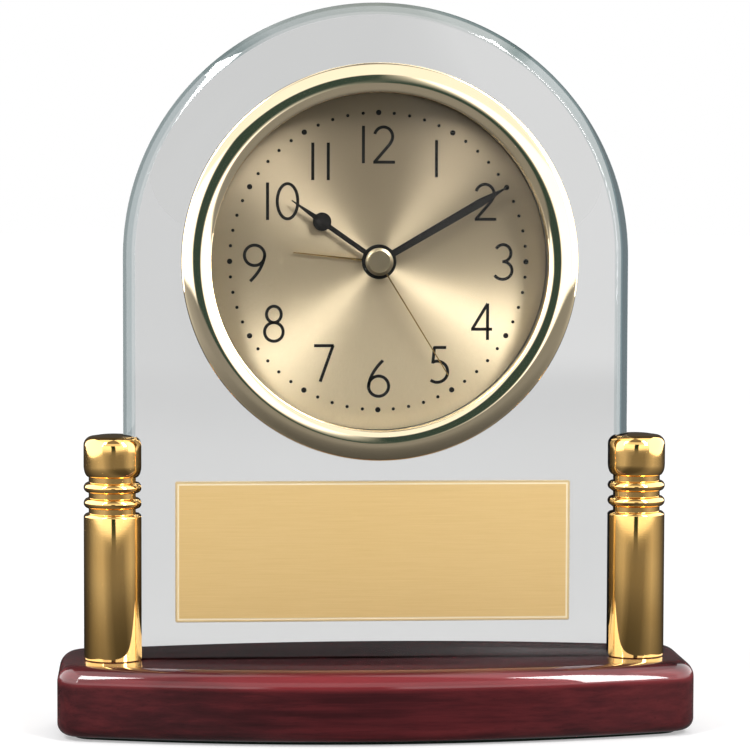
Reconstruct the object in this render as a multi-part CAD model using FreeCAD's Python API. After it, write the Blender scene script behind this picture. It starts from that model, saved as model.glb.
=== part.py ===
import FreeCAD, Part
import math
import os

from FreeCAD import Vector

# Frame: X runs to the right as seen from the front, Y to the back and Z up, in millimetres.
# The origin is in the middle of the felt's underside, on which the clock stands.

# Base: a bowed hardwood block on a felt pad
base_end_margin = 14.5
base_depth = 60.0
base_end_depth = 34.8
base_height = 18.2
base_corner_radius = 8.0
base_top_rounding = 4.5
base_bottom_rounding = 3.0
felt_thickness = 1.0
felt_inset = 4.5

# Posts: turned brass, each held by a screw from below and slotted for an edge of the glass
post_radius = 7.8
post_neck_depth = 1.3
post_body_height = 38.0
post_body_chamfer = 0.5
post_ring_height = 2.7
post_neck_height = 1.35
post_ring_count = 2
post_cap_flare_height = 3.0
post_cap_band_height = 5.2
post_cap_rounding = 2.4
post_dome_rise = 0.5
post_turning_steps = 3
post_screw_radius = 1.6
post_screw_reach = 11.0
post_screw_head_radius = 3.2
post_screw_head_height = 2.4
counterbore_clearance = 0.8
counterbore_depth = 8.0
stand_offset = -3.6

# Glass: an arched plate with a bevel round its front edge and a bore for the insert
glass_width = 131.1
glass_height = 169.8
glass_thickness = 6.0
bevel_width = 3.1
bevel_depth = 1.6
glass_slot_clearance = 0.15
glass_edge_gap = 2.45

# Engraving plate: thin bare sheet on the front of the glass
plate_side_margin = 14.25
plate_foot_gap = 9.8
plate_head_gap = 5.6
plate_thickness = 0.5
plate_offset = -0.9

# Insert: bezel, crystal, dial and case, one behind another on the hands' axis
insert_drop = 1.15
insert_offset = 0.5
bezel_overlap = 4.9
bezel_edge_height = 1.0
bezel_slope_width = 3.1
bezel_crest_height = 6.0
bezel_lip_lap = 1.4
bezel_window_height = 3.0
bezel_lip_thickness = 0.6
crystal_radius = 44.8
crystal_thickness = 1.5
crystal_clearance = 0.1
case_wall = 1.2
case_floor = 1.6
dial_thickness = 0.6
dial_clearance = 0.1
grip_band_thickness = 0.9
grip_rib_rise = 0.4
grip_rib_width = 0.8
grip_rib_count = 3
grip_ring_length = 5.2

# Hands: each gap is to what lies behind, each margin to the dial's rim, angles are clockwise from twelve
hand_thickness = 0.35
alarm_hand_gap = 0.5
hour_hand_gap = 0.55
minute_hand_gap = 0.65
second_hand_gap = 0.65
crystal_gap = 0.45
alarm_hand_angle = 276.0
hour_hand_angle = 305.0
minute_hand_angle = 59.8
second_hand_angle = 148.5
alarm_hand_margin = 21.4
alarm_hand_width = 0.6
alarm_hub_radius = 3.2
hour_hand_margin = 16.1
hour_hand_width = 1.3
hour_hand_disc_radius = 2.4
hour_hand_tip_length = 9.6
hour_hub_radius = 4.2
minute_hand_margin = 5.4
minute_hand_root_width = 1.7
minute_hand_width = 2.2
minute_hand_tip_length = 7.6
minute_hub_radius = 4.48
second_hand_margin = 9.3
second_hand_width = 0.4
second_cap_radius = 3.58
second_cap_height = 1.0
second_cap_chamfer = 0.6
hand_tip_width = 0.25

# Nested tubes and bearings that carry the hands
running_clearance = 0.08
pivot_clearance = 0.05
second_arbor_radius = 0.5
tube_wall = 0.55
bushing_wall = 1.0
pivot_radius = 0.35
pivot_length = 0.9
pivot_hole_depth = 1.0
train_arbor_radius = 0.5
shaft_radius = 0.9

# Movement case: a square moulding behind the cup, with a battery bay along its bottom
gear_room_rise = 26.8
bay_drop = 10.4
bay_clearance = 1.9
movement_wall = 1.2
movement_front_wall = 1.5
movement_cover_thickness = 1.5
movement_corner_radius = 3.0
battery_headroom = 0.5
window_margin = 0.4
movement_screw_radius = 0.9
movement_screw_head_radius = 1.9
movement_screw_head_height = 1.0
movement_screw_length = 6.0
pillar_radius = 2.0
pillar_inset = 3.0
pillar_rise = 3.7
board_pillar_rise = 24.2

# Battery: one AA cell and its two contacts
battery_radius = 7.25
battery_body_length = 49.2
battery_nub_radius = 2.75
battery_nub_length = 1.3
battery_edge_chamfer = 0.6
contact_thickness = 0.4
contact_spring_length = 2.7
contact_width = 9.0
contact_height = 11.0

# Gear train: axial layers, counted from the front wall of the movement
wheel_thickness = 0.9
layer_gap = 0.5
pinion_overhang = 0.2
train_module = 0.27
fifth_module = 0.32
rotor_module = 0.25
motion_module = 0.4
alarm_module = 0.35
rotor_leaves = 8
fifth_teeth = 48
fifth_leaves = 10
fourth_teeth = 50
fourth_leaves = 8
third_teeth = 60
third_leaves = 8
centre_teeth = 64
cannon_leaves = 12
motion_teeth = 36
motion_leaves = 10
hour_teeth = 40
alarm_teeth = 44
alarm_leaves = 14
addendum_share = 0.8
dedendum_share = 1.15
backlash_share = 0.2
tooth_tip_share = 0.5
tooth_root_share = 1.2
third_bearing = 60.0
fifth_bearing = 120.0
motion_bearing = 0.0
alarm_bearing = 180.0
rotor_bearing = 150.0
spoke_window_share = 0.26
spoke_reach_share = 0.6
spoke_count = 4

# Stepping motor and circuit
magnet_radius = 2.6
magnet_length = 2.6
stator_thickness = 0.8
stator_air_gap = 0.5
stator_margin = 4.0
stator_reach = 11.4
stator_rise = 12.7
stator_drop = 8.3
stator_arm_height = 3.5
coil_radius = 3.2
coil_offset = 8.4
coil_core_width = 4.0
coil_core_thickness = 1.0
coil_end_gap = 0.6
board_shaft_gap = 2.1
board_top = 26.0
board_bottom = -8.0
board_thickness = 1.0
board_back_gap = 2.5
board_side_gap = 0.5
buzzer_edge = 0.55
buzzer_height = 4.5
buzzer_rise = 15.8
buzzer_hole_radius = 1.0
crystal_can_radius = 1.0
crystal_can_length = 6.0
crystal_can_place = 3.6
crystal_can_rise = 1.0

# Controls on the back
knob_radius = 5.0
knob_height = 3.4
knob_gap = 0.6
knob_rib_count = 18
knob_rib_depth = 0.45
knob_web = 1.0
switch_across = 19.5
switch_rise = 2.0
switch_stem_width = 2.4
switch_stem_height = 3.0
switch_travel = 3.0
switch_side_clearance = 0.15
switch_shoe_margin = 1.1
switch_shoe_thickness = 1.2
switch_cap_thickness = 1.4
switch_cap_margin = 1.0

cut_overrun = 1.0

# Places and sizes that follow from the values above
base_bottom = felt_thickness
base_top = base_bottom + base_height
post_spacing = glass_width + 2 * glass_edge_gap
base_length = post_spacing + 2 * base_end_margin
post_neck_radius = post_radius - post_neck_depth
counterbore_radius = post_screw_head_radius + counterbore_clearance
glass_front = stand_offset - glass_thickness / 2
glass_back = stand_offset + glass_thickness / 2
crystal_front = glass_front - bezel_window_height + bezel_lip_thickness
crystal_back = crystal_front + crystal_thickness

alarm_hand_height = alarm_hand_gap
hour_hand_height = alarm_hand_height + hand_thickness + hour_hand_gap
minute_hand_height = hour_hand_height + hand_thickness + minute_hand_gap
second_hand_height = minute_hand_height + hand_thickness + second_hand_gap
dial_front = crystal_back + crystal_gap + second_cap_height + hand_thickness + second_hand_height
dial_back = dial_front + dial_thickness
movement_front = dial_back + case_floor

case_outer_radius = crystal_radius + crystal_clearance
dial_radius = case_outer_radius - case_wall - dial_clearance
glass_bore_radius = case_outer_radius + grip_band_thickness + grip_rib_rise
bezel_radius = glass_bore_radius + bezel_overlap
bezel_window_radius = crystal_radius - bezel_lip_lap
bezel_crest_radius = bezel_window_radius + bezel_slope_width
arch_spring = base_top + glass_height - glass_width / 2
insert_centre_height = arch_spring - insert_drop
insert_place = (insert_offset, insert_centre_height)
plate_bottom = base_top + plate_foot_gap
plate_top = insert_centre_height - bezel_radius - plate_head_gap
alarm_hand_length = dial_radius - alarm_hand_margin
hour_hand_length = dial_radius - hour_hand_margin
minute_hand_length = dial_radius - minute_hand_margin
second_hand_length = dial_radius - second_hand_margin

cavity_depth = movement_front_wall + 2 * battery_radius + battery_headroom
cover_front = movement_front + cavity_depth
cover_back = cover_front + movement_cover_thickness
gear_floor = movement_front + movement_front_wall
bay_length = contact_spring_length + battery_body_length + battery_nub_length + contact_thickness
half_inside = bay_length / 2
bay_top = -bay_drop
bay_bottom = bay_top - 2 * battery_radius - bay_clearance
bay_middle = (bay_top + bay_bottom) / 2
pillar_across = half_inside - pillar_inset
pillar_height = bay_top + movement_wall + pillar_rise

alarm_tube_bore = second_arbor_radius + 2 * tube_wall + 3 * running_clearance
alarm_tube_radius = alarm_tube_bore + tube_wall
hour_tube_bore = second_arbor_radius + tube_wall + 2 * running_clearance
hour_tube_radius = hour_tube_bore + tube_wall
minute_tube_bore = second_arbor_radius + running_clearance
minute_tube_radius = minute_tube_bore + tube_wall
bushing_bore = alarm_tube_radius + running_clearance
bushing_radius = bushing_bore + bushing_wall

layer_pitch = wheel_thickness + layer_gap
alarm_layer = gear_floor + layer_gap
hour_layer = alarm_layer + layer_pitch
motion_layer = hour_layer + layer_pitch
centre_layer = motion_layer + layer_pitch
third_layer = centre_layer + layer_pitch
fourth_layer = third_layer + layer_pitch
fifth_layer = fourth_layer + layer_pitch
stator_back = fifth_layer - layer_gap - magnet_length / 2 + stator_thickness / 2
stator_front = stator_back - stator_thickness
board_front = cover_front - board_back_gap - board_thickness

third_distance = train_module * (fourth_leaves + third_teeth) / 2
centre_module = 2 * third_distance / (third_leaves + centre_teeth)
fifth_distance = fifth_module * (fifth_leaves + fourth_teeth) / 2
rotor_distance = rotor_module * (rotor_leaves + fifth_teeth) / 2
motion_distance = motion_module * (cannon_leaves + motion_teeth) / 2
hour_module = 2 * motion_distance / (motion_leaves + hour_teeth)
alarm_distance = alarm_module * (alarm_leaves + alarm_teeth) / 2

board_right = half_inside - board_side_gap
board_left = motion_distance + shaft_radius + board_shaft_gap
board_middle = (board_left + board_right) / 2
buzzer_radius = (board_right - board_left) / 2 - buzzer_edge


def polar(distance, bearing):
    """The place (across, up) at this distance, on a bearing counted from X towards Z."""
    angle = math.radians(bearing)
    return distance * math.cos(angle), distance * math.sin(angle)


third_place = polar(third_distance, third_bearing)
fifth_place = polar(fifth_distance, fifth_bearing)
rotor_step = polar(rotor_distance, rotor_bearing)
rotor_place = (fifth_place[0] + rotor_step[0], fifth_place[1] + rotor_step[1])
motion_place = polar(motion_distance, motion_bearing)
alarm_place = polar(alarm_distance, alarm_bearing)
centre_place = (0, 0)

Y_AXIS = Vector(0, 1, 0)
Z_AXIS = Vector(0, 0, 1)


def block(x_range, y_range, z_range):
    """A rectangular block between three pairs of limits."""
    sizes = [high - low for low, high in (x_range, y_range, z_range)]
    corner = Vector(x_range[0], y_range[0], z_range[0])
    return Part.makeBox(*sizes, corner)


def rod(radius, front, back, place=centre_place):
    """A round bar along Y."""
    return Part.makeCylinder(radius, back - front, Vector(place[0], front, place[1]), Y_AXIS)


def tube(outer, inner, front, back, place=centre_place):
    """A round bar along Y with a bore through it."""
    bore = rod(inner, front - cut_overrun, back + cut_overrun, place)
    return rod(outer, front, back, place).cut(bore)


def sheet(points, front, back):
    """A flat piece square to Y, with its outline given as (across, up)."""
    corners = [Vector(x, front, z) for x, z in points]
    face = Part.Face(Part.makePolygon(corners + corners[:1]))
    return face.extrude(Vector(0, back - front, 0))


def outline_wire(start, steps, to_space):
    """A closed wire: a step is the end of a line, or the middle and the end of an arc."""
    edges = []
    here = start
    for step in steps:
        is_arc = isinstance(step[0], tuple)
        end = step[1] if is_arc else step
        if is_arc:
            curve = Part.Arc(to_space(here), to_space(step[0]), to_space(end))
        else:
            curve = Part.LineSegment(to_space(here), to_space(end))
        edges.append(curve.toShape())
        here = end
    edges.append(Part.LineSegment(to_space(here), to_space(start)).toShape())
    return Part.Wire(edges)


def turned_along_y(start, steps, place=centre_place):
    """A body of revolution about Y, with its section given as (radius, depth)."""
    centre = Vector(place[0], 0, place[1])

    def to_space(point):
        return centre + Vector(point[0], point[1], 0)

    face = Part.Face(outline_wire(start, steps, to_space))
    return face.revolve(centre, Y_AXIS, 360)


def turned_along_z(start, steps, centre):
    """A body of revolution about Z, with its section given as (radius, height)."""

    def to_space(point):
        return centre + Vector(point[0], 0, point[1])

    face = Part.Face(outline_wire(start, steps, to_space))
    return face.revolve(centre, Z_AXIS, 360)


def joined(first, *others):
    """Touching shapes made one solid, without the seams between them."""
    return first.multiFuse(list(others)).removeSplitter()


def bowed_wire(half_length, half_middle, half_end, height):
    """A closed plan outline with straight ends and an arc along the front and the back."""

    def to_space(point):
        return Vector(point[0], point[1], height)

    front_left = (-half_length, -half_end)
    front_right = (half_length, -half_end)
    back_right = (half_length, half_end)
    back_left = (-half_length, half_end)
    steps = [((0, -half_middle), front_right), back_right, ((0, half_middle), back_left)]
    return outline_wire(front_left, steps, to_space)


def bowed_slab(inset, bottom, top, corner_radius):
    """An upright slab with the bowed plan, drawn in by an inset, its corners rounded."""
    wire = bowed_wire(base_length / 2 - inset, base_depth / 2 - inset, base_end_depth / 2 - inset, bottom)
    slab = Part.Face(wire).extrude(Vector(0, 0, top - bottom))
    upright = [edge for edge in slab.Edges
               if edge.BoundBox.XLength + edge.BoundBox.YLength < edge.BoundBox.ZLength / 2]
    return slab.makeFillet(corner_radius, upright)


def rounded_rim(solid, height, radius):
    """The solid with the edges that lie at one height rounded."""
    rim = [edge for edge in solid.Edges
           if abs(edge.BoundBox.ZMin - height) < radius / 10 and abs(edge.BoundBox.ZMax - height) < radius / 10]
    return solid.makeFillet(radius, rim)


def post_axes():
    """The places of the two posts, left one first."""
    return [Vector(side * post_spacing / 2, stand_offset, 0) for side in (-1, 1)]


def make_base():
    """The bowed block, with a counterbored hole under each post."""
    block_shape = bowed_slab(0, base_bottom, base_top, base_corner_radius)
    block_shape = rounded_rim(block_shape, base_top, base_top_rounding)
    block_shape = rounded_rim(block_shape, base_bottom, base_bottom_rounding)
    for axis in post_axes():
        hole = Part.makeCylinder(post_screw_radius + running_clearance, base_height + 2 * cut_overrun,
                                 axis + Vector(0, 0, base_bottom - cut_overrun))
        counterbore = Part.makeCylinder(counterbore_radius, counterbore_depth + cut_overrun,
                                        axis + Vector(0, 0, base_bottom - cut_overrun))
        block_shape = block_shape.cut(hole).cut(counterbore)
    return block_shape


def make_felt_pad():
    """The felt under the base, a little inside its outline."""
    return bowed_slab(felt_inset, 0, felt_thickness, base_corner_radius - felt_inset / 2)


def make_post_screws():
    """A screw from below into each post, as two separate solids."""
    head_bottom = base_bottom + counterbore_depth - post_screw_head_height
    head_top = base_bottom + counterbore_depth
    screws = []
    for axis in post_axes():
        head = Part.makeCylinder(post_screw_head_radius, post_screw_head_height, axis + Vector(0, 0, head_bottom))
        shank_length = base_top + post_screw_reach - head_top
        shank = Part.makeCylinder(post_screw_radius, shank_length, axis + Vector(0, 0, head_top))
        screws.append(joined(head, shank))
    return Part.makeCompound(screws)


def turned_bend(start, out, up, steep_first):
    """Short straight cuts along a quarter of an ellipse, from a start over a width and a height."""
    steps = []
    for index in range(post_turning_steps):
        angle = math.pi / 2 * (index + 1) / post_turning_steps
        early, late = math.sin(angle), 1 - math.cos(angle)
        across, along = (late, early) if steep_first else (early, late)
        steps.append((start[0] + out * across, start[1] + up * along))
    return steps


def post_section():
    """The turned section: body, a neck below each ring, a last neck, a flared band and a domed top."""
    inner_edge = post_body_height - post_body_chamfer
    steps = [(post_radius, 0), (post_radius, inner_edge),
             (post_radius - post_body_chamfer, post_body_height), (post_neck_radius, post_body_height)]
    height = post_body_height
    for ring in range(post_ring_count):
        height += post_neck_height
        steps.append((post_neck_radius, height))
        middle = (post_radius, height + post_ring_height / 2)
        height += post_ring_height
        steps.append((middle, (post_neck_radius, height)))
    height += post_neck_height
    steps.append((post_neck_radius, height))
    steps += turned_bend((post_neck_radius, height), post_neck_depth, post_cap_flare_height, False)
    height += post_cap_flare_height + post_cap_band_height
    steps.append((post_radius, height))
    steps += turned_bend((post_radius, height), -post_cap_rounding, post_cap_rounding, True)
    height += post_cap_rounding
    shoulder = post_radius - post_cap_rounding
    return steps + turned_bend((shoulder, height), -shoulder, post_dome_rise, True)


def make_post(axis):
    """A turned post, slotted for the edge of the glass and tapped from below."""
    foot = axis + Vector(0, 0, base_top)
    post = turned_along_z((0, 0), post_section(), foot)
    inward = -1 if axis.x > 0 else 1
    post.rotate(foot, Z_AXIS, 90 + 90 * inward)
    slot_floor = -inward * (glass_width / 2 + glass_slot_clearance)
    slot_mouth = axis.x + inward * (post_radius + cut_overrun)
    slot_half = glass_thickness / 2 + glass_slot_clearance
    slot = block(sorted((slot_floor, slot_mouth)), (stand_offset - slot_half, stand_offset + slot_half),
                 (base_top - cut_overrun, base_top + glass_height))
    tapped = Part.makeCylinder(post_screw_radius, post_screw_reach + post_screw_radius + cut_overrun,
                               foot - Vector(0, 0, cut_overrun))
    return post.cut(slot).cut(tapped)


def arch_wire(inset, depth):
    """The outline of the glass at one depth: a straight foot, two sides and a half circle."""
    half = glass_width / 2 - inset

    def to_space(point):
        return Vector(point[0], depth, point[1])

    steps = [(half, base_top), (half, arch_spring), ((0, arch_spring + half), (-half, arch_spring))]
    return outline_wire((-half, base_top), steps, to_space)


def make_glass_panel():
    """The arched plate: a straight-sided back, a bevelled front and the bore for the insert."""
    bevel_back = glass_front + bevel_depth
    back = Part.Face(arch_wire(0, bevel_back)).extrude(Vector(0, glass_back - bevel_back, 0))
    front = Part.makeLoft([arch_wire(bevel_width, glass_front), arch_wire(0, bevel_back)], True, True)
    bore = rod(glass_bore_radius, glass_front - cut_overrun, glass_back + cut_overrun, insert_place)
    return joined(back, front).cut(bore)


def make_engraving_plate():
    """The bare plate on the front of the glass."""
    middle = plate_offset
    half = glass_width / 2 - plate_side_margin
    return block((middle - half, middle + half),
                 (glass_front - plate_thickness, glass_front),
                 (plate_bottom, plate_top))


def crest_arc(edge):
    """The middle and the end of an arc from a point of the bezel's section up to its crest, level there."""
    crest = (bezel_crest_radius, glass_front - bezel_crest_height)
    run = edge[0] - crest[0]
    drop = edge[1] - crest[1]
    radius = (run * run + drop * drop) / (2 * drop)
    half_turn = math.asin(min(1, abs(run) / radius)) / 2
    middle = (crest[0] + math.copysign(radius * math.sin(half_turn), run),
              crest[1] + radius * (1 - math.cos(half_turn)))
    return middle, crest


def make_bezel():
    """The polished ring: a rounded crest, a short outer edge and a lip over the crystal."""
    recess = case_outer_radius
    edge = (bezel_radius, glass_front - bezel_edge_height)
    window = (bezel_window_radius, glass_front - bezel_window_height)
    window_middle, _ = crest_arc(window)
    steps = [edge, crest_arc(edge), (window_middle, window), (bezel_window_radius, crystal_front),
             (recess, crystal_front), (recess, glass_front)]
    return turned_along_y((bezel_radius, glass_front), steps, insert_place)


def make_crystal():
    """The flat clear lens behind the lip of the bezel."""
    return rod(crystal_radius, crystal_front, crystal_back, insert_place)


def make_dial():
    """The dial disc with a hole for the bushing."""
    return tube(dial_radius, bushing_radius + dial_clearance, dial_front, dial_back, insert_place)


def movement_screw_places():
    """The places of the two screws that hold the movement, counted from the hands' axis."""
    return [(side * pillar_across, pillar_height) for side in (-1, 1)]


def make_insert_case():
    """The cup behind the dial: a wall that backs the crystal, and a floor that carries the movement."""
    wall = tube(case_outer_radius, case_outer_radius - case_wall, crystal_back, movement_front)
    floor = rod(case_outer_radius, dial_back, movement_front)
    cup = joined(wall, floor)
    cup = cup.cut(rod(bushing_radius + dial_clearance, dial_back - cut_overrun, movement_front + cut_overrun))
    for place in movement_screw_places():
        cup = cup.cut(rod(movement_screw_radius + running_clearance, dial_back, movement_front + cut_overrun, place))
        cup = cup.cut(rod(movement_screw_head_radius + running_clearance, dial_back - cut_overrun,
                          dial_back + movement_screw_head_height, place))
    return cup


def make_grip_ring():
    """The rubber band round the cup, with ribs that grip the bore of the glass."""
    front = glass_front
    back = glass_front + grip_ring_length
    band = tube(case_outer_radius + grip_band_thickness, case_outer_radius, front, back)
    rib_pitch = (grip_ring_length - grip_rib_width) / (grip_rib_count - 1)
    ribs = [tube(glass_bore_radius, case_outer_radius, front + index * rib_pitch,
                 front + index * rib_pitch + grip_rib_width) for index in range(grip_rib_count)]
    return joined(band, *ribs)


def gear(teeth, module, front, back, place, phase, bore=0):
    """A wheel or pinion with straight-sided teeth, one of them centred on the phase."""
    pitch_radius = module * teeth / 2
    tip = pitch_radius + addendum_share * module
    root = pitch_radius - dedendum_share * module
    half_tooth = 90 / teeth * (1 - backlash_share)
    points = []
    for index in range(teeth):
        middle = phase + 360 / teeth * index
        for radius, share in ((root, -tooth_root_share), (tip, -tooth_tip_share),
                              (tip, tooth_tip_share), (root, tooth_root_share)):
            across, up = polar(radius, middle + share * half_tooth)
            points.append((place[0] + across, place[1] + up))
    body = sheet(points, front, back)
    if bore:
        body = body.cut(rod(bore, front - cut_overrun, back + cut_overrun, place))
    return body


def spoke_windows(teeth, module, front, back, place):
    """Round windows that lighten a large wheel."""
    pitch_radius = module * teeth / 2
    radius = pitch_radius * spoke_window_share
    windows = []
    for index in range(spoke_count):
        across, up = polar(pitch_radius * spoke_reach_share, 360 / spoke_count * (index + 1 / 2))
        windows.append(rod(radius, front - cut_overrun, back + cut_overrun, (place[0] + across, place[1] + up)))
    return windows


def opposite(bearing, teeth):
    """The phase of a gear whose gap meets a tooth that comes at it on this bearing."""
    return bearing + 180 + 180 / teeth


def train_arbor(place, back_of_wheel):
    """A plain arbor between the front wall and the cover, with a thin pivot at each end."""
    body = rod(train_arbor_radius, gear_floor + pivot_clearance, cover_front - pivot_clearance, place)
    pivots = rod(pivot_radius, gear_floor + pivot_clearance - pivot_length,
                 cover_front - pivot_clearance + pivot_length, place)
    return [body, pivots]


def make_third_wheel():
    """The 60-tooth wheel and its 8-leaf pinion, moulded on one arbor."""
    wheel = gear(third_teeth, train_module, third_layer, third_layer + wheel_thickness, third_place,
                 opposite(third_bearing, third_teeth))
    for window in spoke_windows(third_teeth, train_module, third_layer, third_layer + wheel_thickness, third_place):
        wheel = wheel.cut(window)
    pinion = gear(third_leaves, centre_module, centre_layer - pinion_overhang, third_layer, third_place,
                  opposite(third_bearing, third_leaves))
    return joined(wheel, pinion, *train_arbor(third_place, third_layer))


def make_fifth_wheel():
    """The 48-tooth wheel that the rotor drives, and its 10-leaf pinion."""
    back = fifth_layer + wheel_thickness
    wheel = gear(fifth_teeth, rotor_module, fifth_layer, back, fifth_place, rotor_bearing)
    for window in spoke_windows(fifth_teeth, rotor_module, fifth_layer, back, fifth_place):
        wheel = wheel.cut(window)
    pinion = gear(fifth_leaves, fifth_module, fourth_layer - pinion_overhang, fifth_layer, fifth_place,
                  opposite(fifth_bearing, fifth_leaves))
    return joined(wheel, pinion, *train_arbor(fifth_place, fifth_layer))


def make_rotor():
    """The round magnet on its arbor, with the 8-leaf pinion behind it."""
    pinion_front = fifth_layer - pinion_overhang
    pinion_back = fifth_layer + wheel_thickness + pinion_overhang
    pinion = gear(rotor_leaves, rotor_module, pinion_front, pinion_back, rotor_place,
                  opposite(rotor_bearing, rotor_leaves))
    magnet_back = fifth_layer - layer_gap
    magnet = rod(magnet_radius, magnet_back - magnet_length, magnet_back, rotor_place)
    return joined(magnet, pinion, *train_arbor(rotor_place, fifth_layer))


def make_fourth_wheel():
    """The seconds wheel: 50 teeth, an 8-leaf pinion and the long arbor that carries the second hand."""
    back = fourth_layer + wheel_thickness
    wheel = gear(fourth_teeth, fifth_module, fourth_layer, back, centre_place, fifth_bearing)
    for window in spoke_windows(fourth_teeth, fifth_module, fourth_layer, back, centre_place):
        wheel = wheel.cut(window)
    pinion = gear(fourth_leaves, train_module, third_layer - pinion_overhang, fourth_layer, centre_place,
                  third_bearing)
    arbor = rod(second_arbor_radius, dial_front - second_hand_height - hand_thickness,
                cover_front - pivot_clearance)
    pivot = rod(pivot_radius, back, cover_front - pivot_clearance + pivot_length)
    return joined(wheel, pinion, arbor, pivot)


def make_centre_wheel():
    """The 64-tooth wheel with the cannon pinion and the tube that carries the minute hand."""
    back = centre_layer + wheel_thickness
    wheel = gear(centre_teeth, centre_module, centre_layer, back, centre_place, third_bearing)
    for window in spoke_windows(centre_teeth, centre_module, centre_layer, back, centre_place):
        wheel = wheel.cut(window)
    cannon = gear(cannon_leaves, motion_module, motion_layer - pinion_overhang, centre_layer, centre_place,
                  motion_bearing)
    stem = rod(minute_tube_radius, dial_front - minute_hand_height - hand_thickness, centre_layer)
    bore = rod(minute_tube_bore, dial_front - minute_hand_height - hand_thickness - cut_overrun,
               back + cut_overrun)
    return joined(wheel, cannon, stem).cut(bore)


def make_motion_wheel():
    """The 36-tooth wheel, its 10-leaf pinion and the shaft that runs back to the setting knob."""
    wheel = gear(motion_teeth, motion_module, motion_layer, motion_layer + wheel_thickness, motion_place,
                 opposite(motion_bearing, motion_teeth))
    pinion = gear(motion_leaves, hour_module, hour_layer - pinion_overhang, motion_layer, motion_place,
                  opposite(motion_bearing, motion_leaves))
    return joined(wheel, pinion, *knob_shaft(motion_place))


def knob_shaft(place):
    """A shaft from a front pivot through the cover to the seat of a knob."""
    shaft = rod(shaft_radius, gear_floor + pivot_clearance, cover_back + knob_gap + knob_height - knob_web, place)
    pivot = rod(pivot_radius, gear_floor + pivot_clearance - pivot_length, gear_floor + layer_gap, place)
    return [shaft, pivot]


def make_hour_wheel():
    """The 40-tooth wheel and the tube that carries the hour hand."""
    back = hour_layer + wheel_thickness
    front_end = dial_front - hour_hand_height - hand_thickness
    wheel = gear(hour_teeth, hour_module, hour_layer, back, centre_place, motion_bearing)
    stem = rod(hour_tube_radius, front_end, hour_layer)
    bore = rod(hour_tube_bore, front_end - cut_overrun, back + cut_overrun)
    return joined(wheel, stem).cut(bore)


def make_alarm_wheel():
    """The 44-tooth wheel and the tube that carries the alarm hand."""
    back = alarm_layer + wheel_thickness
    front_end = dial_front - alarm_hand_height - hand_thickness
    wheel = gear(alarm_teeth, alarm_module, alarm_layer, back, centre_place, alarm_bearing)
    stem = rod(alarm_tube_radius, front_end, alarm_layer)
    bore = rod(alarm_tube_bore, front_end - cut_overrun, back + cut_overrun)
    return joined(wheel, stem).cut(bore)


def make_alarm_pinion():
    """The 14-leaf pinion on the alarm setting shaft."""
    pinion = gear(alarm_leaves, alarm_module, alarm_layer - pinion_overhang,
                  alarm_layer + wheel_thickness + pinion_overhang, alarm_place,
                  opposite(alarm_bearing, alarm_leaves))
    return joined(pinion, *knob_shaft(alarm_place))


def tapered_bar(stations):
    """An upright bar outline from (height, width) stations, lowest first."""
    right = [(width / 2, height) for height, width in stations]
    left = [(-width / 2, height) for height, width in reversed(stations)]
    return right + left


def hand(stations, hub_radius, height, angle, bore, discs=()):
    """A flat hand drawn upright, with a round hub, then turned clockwise to its angle."""
    front = dial_front - height - hand_thickness
    back = dial_front - height
    bar = sheet(tapered_bar(stations), front, back)
    rounds = [rod(radius, front, back, (0, place)) for radius, place in discs]
    body = joined(rod(hub_radius, front, back), bar, *rounds)
    body = body.cut(rod(bore, front - cut_overrun, back + cut_overrun))
    body.rotate(Vector(0, 0, 0), Y_AXIS, angle)
    return body


def make_alarm_hand():
    """The plain needle that shows the alarm time."""
    stations = [(0, alarm_hand_width), (alarm_hand_length, hand_tip_width)]
    return hand(stations, alarm_hub_radius, alarm_hand_height, alarm_hand_angle, alarm_tube_radius)


def make_hour_hand():
    """The short hand: a narrow stem, a round disc and a fine tip."""
    disc_place = hour_hand_length - hour_hand_tip_length
    stations = [(0, hour_hand_width), (disc_place + hour_hand_disc_radius, hour_hand_width),
                (hour_hand_length, hand_tip_width)]
    discs = [(hour_hand_disc_radius, disc_place)]
    return hand(stations, hour_hub_radius, hour_hand_height, hour_hand_angle, hour_tube_radius, discs)


def make_minute_hand():
    """The long hand: a stem that widens to its shoulder, then a fine tip."""
    shoulder = minute_hand_length - minute_hand_tip_length
    stations = [(0, minute_hand_root_width), (shoulder, minute_hand_width), (minute_hand_length, hand_tip_width)]
    return hand(stations, minute_hub_radius, minute_hand_height, minute_hand_angle, minute_tube_radius)


def make_second_hand():
    """The fine hand and the round cap that covers the end of its arbor."""
    stations = [(0, second_hand_width), (second_hand_length, hand_tip_width)]
    needle = hand(stations, second_cap_radius, second_hand_height, second_hand_angle, second_arbor_radius)
    cap_back = dial_front - second_hand_height - hand_thickness
    cap_front = cap_back - second_cap_height
    steps = [(second_cap_radius, cap_back), (second_cap_radius, cap_front + second_cap_chamfer),
             (second_cap_radius - second_cap_chamfer, cap_front), (0, cap_front)]
    cap = turned_along_y((0, cap_back), steps)
    return joined(needle, cap)


def movement_block(front, back):
    """A block with the outline of the movement and its four long edges rounded."""
    half = half_inside + movement_wall
    body = block((-half, half), (front, back), (bay_bottom - movement_wall, gear_room_rise + movement_wall))
    long_edges = [edge for edge in body.Edges if edge.BoundBox.YLength > (back - front) / 2]
    return body.makeFillet(movement_corner_radius, long_edges)


def pivot_places():
    """The arbors that stand between the front wall and the cover."""
    return [third_place, fifth_place, rotor_place]


def board_pillar_places():
    """The pillars that carry the circuit board."""
    return [(pillar_across, pillar_height), (pillar_across, board_pillar_rise)]


def coil_axis():
    """How far across the coil stands from the hands' axis."""
    return rotor_place[0] - coil_offset


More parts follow.
